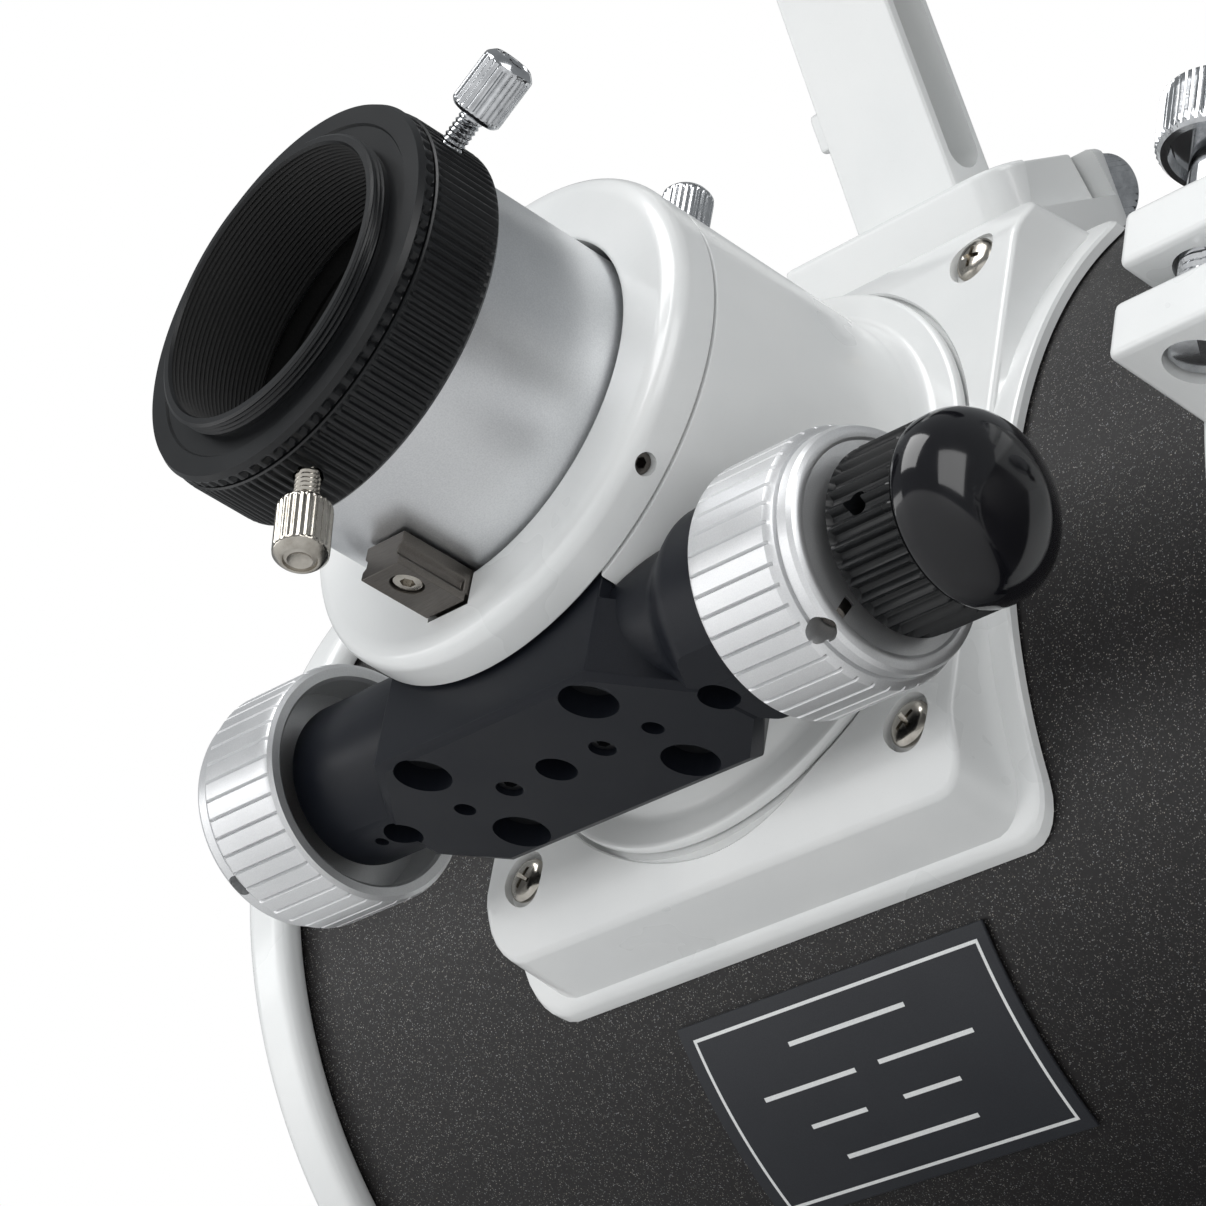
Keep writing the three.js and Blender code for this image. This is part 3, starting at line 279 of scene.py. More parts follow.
def tint(red: float, green: float, blue: float) -> tuple[float, float, float, float]:
    """A colour with full cover."""
    return red, green, blue, 1.0


# ------------------------------------------------------------------------------------ finishes
@dataclass(frozen=True)
class Finish:
    """A finish: a name, the record's slot it stands for, and how its material is made."""

    name: str
    slot: str

    def graph(self) -> Graph:
        """A fresh node tree for this finish."""
        return Graph(self.name)

    def build(self) -> bpy.types.Material:
        """Makes the material."""
        raise NotImplementedError


@dataclass(frozen=True)
class PowderCoat(Finish):
    """Glossy white powder coat on a casting, with the soft ripple of such a coat."""

    ripple: float = 650.0
    ripple_depth: float = 0.00004

    def build(self) -> bpy.types.Material:
        """Makes the material."""
        g = self.graph()
        broad = g.noise(38.0, 3.0)
        fine = g.noise(self.ripple, 1.0)
        colour = g.mix(g.ramp(broad, 0.35, 0.7), tint(0.72, 0.732, 0.73), tint(0.765, 0.772, 0.766))
        dust = g.noise(5200.0, 0.0) > 0.79
        colour = g.mix(dust * 0.12, colour, grey(0.45))
        height = fine * g.ramp(g.noise(60.0, 1.0), 0.3, 0.65, 0.25, 1.0) + g.noise(1900.0, 1.0) * 0.18
        return g.dress(Base_Color=colour, Roughness=g.ramp(broad, 0.3, 0.7, 0.26, 0.36), Coat_Weight=0.5,
                       Coat_Roughness=0.12, Normal=g.bump(height, self.ripple_depth, 0.55))


@dataclass(frozen=True)
class SparklePaint(Finish):
    """Black satin paint that carries fine metal flakes."""

    cells: float = 4300.0

    def build(self) -> bpy.types.Material:
        """Makes the material."""
        g = self.graph()
        where = g.place()
        flakes = g.node("ShaderNodeTexVoronoi", {"feature": "F1"}, {"Vector": where, "Scale": self.cells}, "Color")
        pick = g.split(flakes, "X")
        near = g.node("ShaderNodeTexVoronoi", {"feature": "F1"}, {"Vector": where, "Scale": self.cells}, "Distance")
        bright = (pick > 0.66) * (near < 0.44) * g.ramp(g.split(flakes, "Y"), 0.0, 1.0, 0.02, 0.62).power(1.8)
        warm = g.mix(g.split(flakes, "Z"), tint(0.62, 0.56, 0.48), tint(0.56, 0.58, 0.62))
        ground = g.mix(g.noise(1100.0, 2.0), tint(0.0075, 0.0068, 0.007), tint(0.016, 0.0148, 0.015))
        colour = g.mix(bright, ground, warm)
        height = g.noise(1500.0, 2.0) + bright * 0.4
        return g.dress(Base_Color=colour, Metallic=bright * 0.75, Roughness=g.ramp(bright, 0.0, 1.0, 0.44, 0.3),
                       Specular_IOR_Level=0.24, Coat_Weight=0.06, Coat_Roughness=0.32,
                       Normal=g.bump(height, 0.00004, 0.6))


@dataclass(frozen=True)
class BlastedMetal(Finish):
    """Metal with an even, fine-grained satin face."""

    light: tuple[float, float, float, float] = (0.78, 0.79, 0.8, 1.0)
    dark: tuple[float, float, float, float] = (0.66, 0.67, 0.685, 1.0)
    metal: float = 1.0
    smooth: float = 0.32
    coarse: float = 0.42
    grain: float = 4200.0
    grain_depth: float = 0.000025
    gloss: float = 0.5

    def build(self) -> bpy.types.Material:
        """Makes the material."""
        g = self.graph()
        grain = g.noise(self.grain, 2.0)
        broad = g.noise(45.0, 3.0)
        colour = g.mix(g.ramp(grain * 0.6 + broad * 0.4, 0.35, 0.65), self.dark, self.light)
        return g.dress(Base_Color=colour, Metallic=self.metal,
                       Roughness=g.ramp(broad, 0.3, 0.7, self.smooth, self.coarse),
                       Specular_IOR_Level=self.gloss, Normal=g.bump(grain, self.grain_depth, 0.7))


@dataclass(frozen=True)
class PolishedMetal(Finish):
    """Plated or polished metal with faint handling marks."""

    light: tuple[float, float, float, float] = (0.66, 0.67, 0.685, 1.0)
    dark: tuple[float, float, float, float] = (0.42, 0.43, 0.445, 1.0)
    smooth: float = 0.09
    worn: float = 0.2

    def build(self) -> bpy.types.Material:
        """Makes the material."""
        g = self.graph()
        marks = g.noise(420.0, 4.0, rough=0.65)
        colour = g.mix(g.ramp(marks, 0.3, 0.75), self.light, self.dark)
        return g.dress(Base_Color=colour, Metallic=1.0, Roughness=g.ramp(marks, 0.35, 0.75, self.smooth, self.worn),
                       Normal=g.bump(g.noise(2600.0, 1.0), 0.00001, 0.35))


@dataclass(frozen=True)
class GroundSteel(Finish):
    """Steel with the straight lines of a grinder."""

    def build(self) -> bpy.types.Material:
        """Makes the material."""
        g = self.graph()
        lines = g.noise(1.0, 3.0, g.stretched((500.0, 9000.0, 9000.0)))
        colour = g.mix(lines, tint(0.07, 0.064, 0.058), tint(0.2, 0.185, 0.17))
        return g.dress(Base_Color=colour, Metallic=1.0, Roughness=g.ramp(lines, 0.2, 0.8, 0.28, 0.45),
                       Normal=g.bump(lines, 0.00002, 0.5))


@dataclass(frozen=True)
class GlossBlack(Finish):
    """Deep black moulded plastic with a high gloss."""

    def build(self) -> bpy.types.Material:
        """Makes the material."""
        g = self.graph()
        haze = g.noise(240.0, 3.0)
        return g.dress(Base_Color=g.mix(haze, tint(0.003, 0.003, 0.0042), tint(0.006, 0.006, 0.008)),
                       Roughness=g.ramp(haze, 0.3, 0.8, 0.08, 0.16), Specular_IOR_Level=0.35, Coat_Weight=0.25,
                       Coat_Roughness=0.05)


@dataclass(frozen=True)
class MirrorCoat(Finish):
    """A front-surface mirror coat with a trace of dust."""

    def build(self) -> bpy.types.Material:
        """Makes the material."""
        g = self.graph()
        dust = g.noise(3000.0, 1.0) > 0.76
        return g.dress(Base_Color=g.mix(dust * 0.5, tint(0.9, 0.92, 0.93), grey(0.7)), Metallic=1.0,
                       Roughness=g.ramp(dust, 0.0, 1.0, 0.02, 0.3))


@dataclass(frozen=True)
class CoatedGlass(Finish):
    """Lens glass with a green anti-reflection coat."""

    def build(self) -> bpy.types.Material:
        """Makes the material."""
        g = self.graph()
        haze = g.noise(90.0, 2.0)
        return g.dress(Base_Color=g.mix(haze, tint(0.55, 0.75, 0.68), tint(0.7, 0.82, 0.86)),
                       Roughness=g.ramp(haze, 0.3, 0.7, 0.01, 0.03), Transmission_Weight=0.92, IOR=1.5,
                       Coat_Weight=0.4, Coat_Tint=tint(0.7, 1.0, 0.85))


@dataclass(frozen=True)
class PaleFloor(Finish):
    """Plain studio floor; nothing of it shows from underneath."""

    def build(self) -> bpy.types.Material:
        """Makes the material."""
        g = self.graph()
        g.dress(Base_Color=g.mix(g.noise(6.0, 2.0), grey(0.86), grey(0.9)), Roughness=0.7)
        below = g.node("ShaderNodeNewGeometry", {}, {}, "Backfacing")
        clear = g.tree.nodes.new("ShaderNodeBsdfTransparent")
        both = g.tree.nodes.new("ShaderNodeMixShader")
        g.feed(both.inputs[0], below)
        g.tree.links.new(g.shader.outputs[0], both.inputs[1])
        g.tree.links.new(clear.outputs[0], both.inputs[2])
        g.tree.links.new(both.outputs[0], g.tree.nodes["Material Output"].inputs["Surface"])
        return g.material


class Coat(Enum):
    """The finishes that the telescope wears."""

    WHITE = PowderCoat("white_powder_coat", "white_cast")
    TUBE = SparklePaint("black_sparkle_paint", "sparkle_black")
    SILVER = BlastedMetal("satin_silver", "satin_silver")
    KNOB = BlastedMetal("knob_silver", "satin_silver", (0.78, 0.785, 0.79, 1), (0.7, 0.705, 0.715, 1), 0.85, 0.36, 0.44,
                        5200.0)
    BLOCK = BlastedMetal("blue_black_anodised", "blue_black", (0.0085, 0.01, 0.0145, 1), (0.005, 0.006, 0.009, 1),
                         0.0, 0.34, 0.46, 5200.0, gloss=0.2)
    BLACK = BlastedMetal("satin_black_anodised", "satin_black", (0.008, 0.0085, 0.0095, 1), (0.0045, 0.005, 0.0055, 1),
                         0.0, 0.26, 0.38, 4800.0, gloss=0.32)
    MATT = BlastedMetal("matt_black_inside", "satin_black", (0.012, 0.012, 0.012, 1), (0.005, 0.005, 0.005, 1),
                        0.0, 0.75, 0.9, 3000.0, 0.00005)
    CHROME = PolishedMetal("chrome_plate", "chrome")
    NICKEL = PolishedMetal("nickel_plate", "nickel", (0.56, 0.53, 0.48, 1), (0.34, 0.315, 0.275, 1), 0.14, 0.28)
    STEEL = GroundSteel("ground_steel", "dark_steel")
    GLOSS = GlossBlack("gloss_black_cap", "satin_black")
    MIRROR = MirrorCoat("mirror_coat", "mirror_coat")
    GLASS = CoatedGlass("coated_glass", "lens_glass")
    PLATE = BlastedMetal("plate_black", "plate_black", (0.02, 0.022, 0.027, 1), (0.012, 0.0135, 0.018, 1),
                         0.0, 0.38, 0.5, 5000.0, gloss=0.35)
    PRINT = BlastedMetal("plate_print", "plate_black", (0.82, 0.83, 0.82, 1), (0.7, 0.71, 0.71, 1), 0.0, 0.4, 0.5)
    FLOOR = PaleFloor("studio_floor", "white_cast")


class Wardrobe:
    """Keeps each finish's material, made once."""

    _made: dict[Coat, bpy.types.Material] = {}

    @classmethod
    def get(cls, coat: Coat) -> bpy.types.Material:
        """The material of a finish."""
        if coat not in cls._made:
            cls._made[coat] = coat.value.build()
        return cls._made[coat]


# ------------------------------------------------------------------------------------ mesh tools
class Form:
    """A closed mesh in local millimetres, before it is placed."""

    def __init__(self, mesh: bpy.types.Mesh) -> None:
        """Wraps a mesh."""
        self.mesh = mesh

    @classmethod
    def of(cls, points: Iterable[Point], faces: Iterable[Sequence[int]]) -> "Form":
        """Makes a form from points and faces, with equal points joined.

        Args:
            points: corners in millimetres.
            faces: corner numbers of each face.

        Returns:
            The form, with its faces turned outwards.
        """
        mesh = bpy.data.meshes.new("form")
        mesh.from_pydata([tuple(p) for p in points], [], [tuple(f) for f in faces])
        work = bmesh.new()
        work.from_mesh(mesh)
        bmesh.ops.remove_doubles(work, verts=work.verts, dist=1e-4)
        bmesh.ops.dissolve_degenerate(work, edges=work.edges, dist=1e-5)
        bmesh.ops.recalc_face_normals(work, faces=work.faces)
        work.to_mesh(mesh)
        work.free()
        return cls(mesh)

    @classmethod
    def loft(cls, rings: Sequence[Sequence[Point]], closed: bool = True) -> "Form":
        """Joins rings of equal length with quads.

        Args:
            rings: each ring's corners in order.
            closed: whether the last ring joins the first; otherwise both ends get a cap.

        Returns:
            The form.
        """
        count = len(rings[0])
        faces = []
        last = len(rings) if closed else len(rings) - 1
        for i in range(last):
            j = (i + 1) % len(rings)
            for k in range(count):
                n = (k + 1) % count
                faces.append((i * count + k, i * count + n, j * count + n, j * count + k))
        if not closed:
            faces.append(tuple(range(count)))
            faces.append(tuple((len(rings) - 1) * count + k for k in range(count)))
        return cls.of([p for ring in rings for p in ring], faces)

    @classmethod
    def turn(cls, profile: Profile, facets: int = ROUND_FACETS,
             ripple: Optional[Callable[[float, float, float], float]] = None) -> "Form":
        """Turns a closed outline about local Z.

        Args:
            profile: radius and height of each corner.
            facets: steps round the axis.
            ripple: gives a radius from the plain radius, the height and the angle.

        Returns:
            The form.
        """
        rings = []
        for radius, height in profile:
            ring = []
            for i in range(facets):
                angle = math.tau * i / facets
                r = ripple(radius, height, angle) if ripple and radius > 0 else radius
                ring.append((r * math.cos(angle), r * math.sin(angle), height))
            rings.append(ring)
        return cls.loft(rings)

    @classmethod
    def prism(cls, outline: Sequence[tuple[float, float]], low: float, high: float) -> "Form":
        """Pulls an outline of local X and Y up from one height to another."""
        rings = [[(x, y, z) for x, y in outline] for z in (low, high)]
        return cls.loft(rings, closed=False)

    @classmethod
    def box(cls, low: Point, high: Point) -> "Form":
        """A block between two corners."""
        return cls.prism([(low[0], low[1]), (high[0], low[1]), (high[0], high[1]), (low[0], high[1])],
                         low[2], high[2])

    def at(self, place: Union[Place, Matrix]) -> "Form":
        """This form moved to a place in the frame it was made in."""
        mesh = self.mesh.copy()
        mesh.transform(place.matrix if isinstance(place, Place) else place)
        return Form(mesh)

    def _worked(self, prepare: Callable[[bpy.types.Object], None]) -> "Form":
        """This form with modifiers that `prepare` adds, made final."""
        obj = bpy.data.objects.new("work", self.mesh)
        bpy.context.scene.collection.objects.link(obj)
        prepare(obj)
        graph = bpy.context.evaluated_depsgraph_get()
        graph.update()
        mesh = bpy.data.meshes.new_from_object(obj.evaluated_get(graph))
        bpy.data.objects.remove(obj)
        return Form(mesh)

    def _boolean(self, operation: str, tools: Sequence["Form"]) -> "Form":
        """Joins, cuts or meets other forms with this one."""
        helpers = []

        def prepare(obj: bpy.types.Object) -> None:
            """Adds one modifier for each tool."""
            for tool in tools:
                helper = bpy.data.objects.new("tool", tool.mesh)
                bpy.context.scene.collection.objects.link(helper)
                helpers.append(helper)
                modifier = obj.modifiers.new("bool", "BOOLEAN")
                modifier.operation = operation
                modifier.solver = "EXACT"
                modifier.object = helper

        made = self._worked(prepare)
        for helper in helpers:
            bpy.data.objects.remove(helper)
        return made

    def cut(self, *tools: "Form") -> "Form":
        """This form less others."""
        return self._boolean("DIFFERENCE", tools)

    def join(self, *tools: "Form") -> "Form":
        """This form and others as one."""
        return self._boolean("UNION", tools)

    def meet(self, *tools: "Form") -> "Form":
        """What this form shares with others."""
        return self._boolean("INTERSECT", tools)

    def bevel(self, width: float, segments: int = 2, angle: float = 35.0) -> "Form":
        """Rounds the edges that are sharper than an angle, by a width in millimetres."""
        def prepare(obj: bpy.types.Object) -> None:
            """Adds the bevel."""
            modifier = obj.modifiers.new("bevel", "BEVEL")
            modifier.width = width
            modifier.segments = segments
            modifier.limit_method = "ANGLE"
            modifier.angle_limit = math.radians(angle)
            modifier.use_clamp_overlap = True
            modifier.miter_outer = "MITER_ARC"

        return self._worked(prepare)

    def show(self, name: str, coat: Coat, body: str, place: Place = TUBE, replaces: Sequence[str] = (),
             second: Optional[Coat] = None, chooser: Optional[Callable[[Vector], bool]] = None,
             crease: float = 32.0) -> bpy.types.Object:
        """Places the form as a piece of the telescope.

        Args:
            name: the piece's name.
            coat: its finish.
            body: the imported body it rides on.
            place: where its local frame is.
            replaces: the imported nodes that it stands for.
            second: a second finish.
            chooser: says which face centres, in local millimetres, take the second finish.
            crease: faces that meet at a greater angle, in degrees, keep a crisp edge.

        Returns:
            The finished object.
        """
        mesh = self.mesh.copy()
        mesh.name = name
        mesh.materials.clear()
        mesh.materials.append(Wardrobe.get(coat))
        if second is not None:
            mesh.materials.append(Wardrobe.get(second))
        for polygon in mesh.polygons:
            polygon.material_index = int(bool(second is not None and chooser and chooser(polygon.center)))
        mesh.transform(place.world())
        mesh.shade_smooth()
        mesh.set_sharp_from_angle(angle=math.radians(crease))
        obj = bpy.data.objects.new(name, mesh)
        bpy.context.scene.collection.objects.link(obj)
        modifier = obj.modifiers.new("normals", "WEIGHTED_NORMAL")
        modifier.keep_sharp = True
        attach(obj, body)
        if replaces:
            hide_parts(*replaces)
        LOG.info("%s: %d faces, on %s", name, len(mesh.polygons), body)
        return obj


def rounded(profile: Profile, radius: float = 0.6, steps: int = 3, closed: bool = True) -> list[tuple[float, float]]:
    """Rounds the corners of an outline.

    Args:
        profile: its corners.
        radius: the length that is taken from each side of a corner.
        steps: facets of each rounding.
        closed: whether the outline joins its own start.

    Returns:
        The new corners. A corner on the axis of a turned outline stays as it is.
    """
    made: list[tuple[float, float]] = []
    count = len(profile)
    for i, (x, y) in enumerate(profile):
        if not closed and i in (0, count - 1):
            made.append((x, y))
            continue
        here = Vector((x, y))
        before, after = Vector(profile[i - 1]) - here, Vector(profile[(i + 1) % count]) - here
        short = min(before.length, after.length) < TINY
        if x <= TINY or short or before.angle(after) > STRAIGHT_ANGLE:
            made.append((x, y))
            continue
        first = here + before.normalized() * min(radius, before.length * 0.45)
        last = here + after.normalized() * min(radius, after.length * 0.45)
        for k in range(steps + 1):
            t = k / steps
            point = first * (1 - t) ** 2 + here * (2 * t * (1 - t)) + last * t ** 2
            made.append((point.x, point.y))
    return made


def circle(radius: float, count: int = 48, middle: Point = (0.0, 0.0)) -> list[tuple[float, float]]:
    """Points round a circle."""
    return [(middle[0] + radius * math.cos(math.tau * i / count), middle[1] + radius * math.sin(math.tau * i / count))
            for i in range(count)]


def rod(radius: float, low: float, high: float, edge: float = 0.4, facets: int = ROD_FACETS) -> Form:
    """A round bar on local Z with rounded ends."""
    return Form.turn(rounded([(0, low), (radius, low), (radius, high), (0, high)], edge), facets)


def drill(radius: float, low: float, high: float, place: Place, facets: int = 40) -> Form:
    """A plain round tool for a hole, in the frame of `place`."""
    return Form.prism(circle(radius, facets), low, high).at(place)


def groove(count: int, depth: float, share: float, low: float, high: float, fade: float,
           least: float) -> Callable[[float, float, float], float]:
    """Straight grooves round a turned form.

    Args:
        count: grooves round the axis.
        depth: their depth in millimetres.
        share: the part of each pitch that a groove takes.
        low: height where they start.
        high: height where they end.
        fade: length over which they run out.
        least: radii below this stay plain.

    Returns:
        A ripple for Form.turn.
    """
    def ripple(radius: float, height: float, angle: float) -> float:
        """The radius at a height and angle."""
        if radius < least:
            return radius
        ends = max(0.0, min(1.0, (height - low) / fade + 0.5, (high - height) / fade + 0.5))
        phase = abs((angle / math.tau * count) % 1.0 - 0.5) * 2
        inside = max(0.0, 1 - phase / share) if share < 1 else 1 - phase
        return radius - depth * ends * min(1.0, inside * 1.6)

    return ripple


def thread(pitch: float, depth: float, low: float, high: float, least: float,
           most: float = 1e9) -> Callable[[float, float, float], float]:
    """A screw thread on a turned form, between two heights and two radii."""
    def ripple(radius: float, height: float, angle: float) -> float:
        """The radius at a height and angle."""
        if not least <= radius <= most or not low <= height <= high:
            return radius
        ends = min(1.0, (height - low) / pitch, (high - height) / pitch)
        phase = abs((height / pitch - angle / math.tau) % 1.0 - 0.5) * 2
        return radius - depth * phase * ends

    return ripple


def ladder(radius: float, low: float, high: float, step: float) -> list[tuple[float, float]]:
    """Points up a straight wall, for a thread to bend."""
    count = max(1, round(abs(high - low) / step))
    return [(radius, low + (high - low) * i / count) for i in range(count + 1)]


# ------------------------------------------------------------------------------------ small hardware
@dataclass
class Thumbscrew:
    """Knurled screw on local Z; the wall it goes into has its face at zero."""

    depth: float = 3.0
    stand: float = 5.0
    length: float = 10.0
    head: float = 4.1
    shank: float = 1.9
    grooves: int = 26
    coat: Coat = Coat.CHROME

    def form(self) -> Form:
        """The screw's mesh."""
        top = self.stand + self.length
        pitch = 0.8
        wall = ladder(self.shank, -self.depth + 0.3, self.stand - 0.3, pitch / 5)
        outline = [(0, -self.depth), (self.shank - 0.4, -self.depth), *wall, (self.shank, self.stand)]
        head = rounded([(self.shank, self.stand), (self.head - 0.7, self.stand), (self.head, self.stand + 0.7),
                        (self.head, self.stand + 1.2), (self.head, top - 1.9), (self.head, top - 1.2),
                        (self.head - 1.1, top - 0.1), (self.head * 0.6, top)], 0.35, 2)
        dish = [(self.head * 0.45, top - 0.12), (self.head * 0.3, top - 0.6), (0, top - 0.75)]
        worm = thread(pitch, 0.34, -self.depth, self.stand, self.shank - 0.05, self.shank + 0.05)
        grooves = groove(self.grooves, 0.36, 0.8, self.stand + 1.1, top - 1.7, 0.7, self.head - 0.25)
        return Form.turn([*outline, *head, *dish], self.grooves * 6,
                         lambda r, h, a: grooves(worm(r, h, a), h, a))

    def show(self, name: str, body: str, place: Place, replaces: Sequence[str]) -> None:
        """Places the screw."""
        self.form().show(name, self.coat, body, place, replaces, crease=40)


@dataclass
class SocketScrew:
    """Headless screw with a hexagon socket, its face at local zero."""

    radius: float = 1.8
    depth: float = 3.0
    socket: float = 0.95

    def form(self) -> Form:
        """The screw's mesh."""
        body = Form.turn(rounded([(0, -self.depth), (self.radius, -self.depth), (self.radius, 0), (0, 0)], 0.3), 40)
        return body.cut(Form.prism(circle(self.socket, 6), -self.depth * 0.6, 1.0))

    def show(self, name: str, body: str, place: Place, coat: Coat = Coat.STEEL) -> None:
        """Places the screw."""
        self.form().show(name, coat, body, place)


@dataclass
class CrossScrew:
    """Pan-head screw with a cross recess; its head sits on local zero."""

    head: float = 3.7
    height: float = 2.0
    shank: float = 2.0
    depth: float = 18.0

    def form(self) -> Form:
        """The screw's mesh."""
        dome = [(0, -self.depth), (self.shank, -self.depth), (self.shank, 0), (self.head - 0.2, 0), (self.head, 0.25),
                (self.head, 0.8), (self.head * 0.92, 1.25), (self.head * 0.72, 1.7),
                (self.head * 0.4, self.height - 0.06),
                (0, self.height)]
        arm, width, low = self.head * 0.58, 0.42, self.height - 1.5
        cross = []
        for turn in (0.0, math.pi / 2):
            taper = [[(-arm * s, -width * s, z), (arm * s, -width * s, z), (arm * s, width * s, z),
                      (-arm * s, width * s, z)]
                     for s, z in ((0.45, low), (1.05, self.height + 0.5))]
            cross.append(Form.loft(taper, closed=False).at(Matrix.Rotation(turn, 4, "Z")))
        return Form.turn(dome, 56).cut(*cross)

    def show(self, name: str, body: str, place: Place, replaces: Sequence[str], coat: Coat = Coat.NICKEL) -> None:
        """Places the screw."""
        self.form().show(name, coat, body, place, replaces, crease=28)


# ------------------------------------------------------------------------------------ focuser
def corner_reach(angle: float, half_x: float, half_y: float, corner: float) -> float:
    """Distance from the middle of a rounded rectangle to its edge.

    Args:
        angle: direction, in radians.
        half_x: half its length.
        half_y: half its width.
        corner: corner radius.

    Returns:
        The distance along that direction.
    """
    dx, dy = abs(math.cos(angle)), abs(math.sin(angle))
    straight = min(half_x / max(dx, 1e-9), half_y / max(dy, 1e-9))
    cx, cy = half_x - corner, half_y - corner
    if dx * straight <= cx or dy * straight <= cy:
        return straight
    along = dx * cx + dy * cy
    return along + math.sqrt(max(0.0, along * along - (cx * cx + cy * cy - corner * corner)))


@dataclass
class SaddleBase:
    """White casting that sits on the tube and holds the focuser's flange."""

    half_x: float = 52.0
    half_y: float = 52.5
    corner: float = 6.0
    top: float = 92.8
    skirt_x: float = 56.9
    skirt_y: float = 54.9
    skirt_corner: float = 7.0
    skirt_radius: float = 92.5
    seat_radius: float = 90.35
    bore: float = 43.4
    flange_room: float = 48.3
    flange_seat: float = 91.6
    shoulder_y: float = 42.0
    shoulder_drop: float = 5.2
    rounding: float = 0.9
    draft: float = 0.9
    screw_x: float = 42.7
    screw_y: float = 41.1
    screw_seat: float = 91.0
    steps: int = 288

    def height(self, x: float, y: float) -> float:
        """The height of the top face, with its shoulders."""
        over = max(0.0, abs(y) - self.shoulder_y) / (self.half_y - self.shoulder_y)
        return self.top - 0.05 - self.shoulder_drop * over ** 1.35

    def curve(self, radius: float, y: float) -> float:
        """The height of a cylinder on the tube's axis."""
        return math.sqrt(max(0.0, radius * radius - y * y))

    def form(self) -> Form:
        """The casting's mesh."""
        angles = [math.tau * i / self.steps for i in range(self.steps)]

        def ring(reach: Callable[[float], float], height: Callable[[float, float], float]) -> list[Point]:
            """One loop of points."""
            loop = []
            for angle in angles:
                r = reach(angle)
                x, y = r * math.cos(angle), r * math.sin(angle)
                loop.append((x, y, height(x, y)))
            return loop

        def plate(inset: float) -> Callable[[float], float]:
            """The plate's outline, drawn in by a distance."""
            return lambda a: corner_reach(a, self.half_x - inset, self.half_y - inset, self.corner - inset)

        def skirt(inset: float) -> Callable[[float], float]:
            """The skirt's outline, drawn in by a distance."""
            return lambda a: corner_reach(a, self.skirt_x - inset, self.skirt_y - inset, self.skirt_corner)

        flat = lambda z: (lambda x, y: z)
        under = lambda x, y: self.curve(self.seat_radius, y)
        foot = lambda x, y: min(self.top - 0.3, self.curve(self.skirt_radius, y))
        rings = [
            ring(lambda a: self.bore, under),
            ring(lambda a: self.bore, flat(self.flange_seat)),
            ring(lambda a: self.flange_room, flat(self.flange_seat)),
            ring(lambda a: self.flange_room, lambda x, y: self.height(x, y) - 0.3),
            ring(lambda a: self.flange_room + 0.3, self.height),
        ]
        inner = self.flange_room + 0.3
        edge = plate(self.rounding)
        spans = 16
        for i in range(1, spans + 1):
            rings.append(ring(lambda a, s=i / spans: inner + (max(edge(a), inner + 0.4) - inner) * s, self.height))
        for i in range(1, 5):
            turn = math.pi / 2 * i / 4
            drop = self.rounding * (1 - math.cos(turn))
            outline = plate(self.rounding * (1 - math.sin(turn)))
            rings.append(ring(lambda a, o=outline: max(o(a), inner + 0.4),
                              lambda x, y, d=drop: max(foot(x, y), self.height(x, y) - d)))
        wall = plate(-self.draft)
        rings.append(ring(wall, foot))
        for inset, drop in ((0.9, 0.0), (0.3, 0.2), (0.0, 0.8)):
            rings.append(ring(skirt(inset), lambda x, y, d=drop: foot(x, y) - d))
        rings.append(ring(skirt(0.0), under))
        solid = Form.loft(rings)
        pockets = []
        for x in (-self.screw_x, self.screw_x):
            for y in (-self.screw_y, self.screw_y):
                pockets.append(drill(4.55, self.screw_seat, self.top + 6, Place((x, y, 0))))
                pockets.append(drill(2.3, self.screw_seat - 6, self.top, Place((x, y, 0))))
        return solid.cut(*pockets)

    def build(self) -> None:
        """Shows the casting and its four screws."""
        self.form().show("saddle_casting", Coat.WHITE, "root", TUBE, ["focuser_base"], crease=KNURL_CREASE)
        number = 0
        for x in (-self.screw_x, self.screw_x):
            for y in (-self.screw_y, self.screw_y):
                number += 1
                turn = math.radians(20 + 37 * number)
                spot = Place((x, y, self.screw_seat + 0.05), (0, 0, 1), (math.cos(turn), math.sin(turn), 0))
                CrossScrew().show(f"saddle_screw_{number}", "root", spot, [f"base_screw_{number}"])


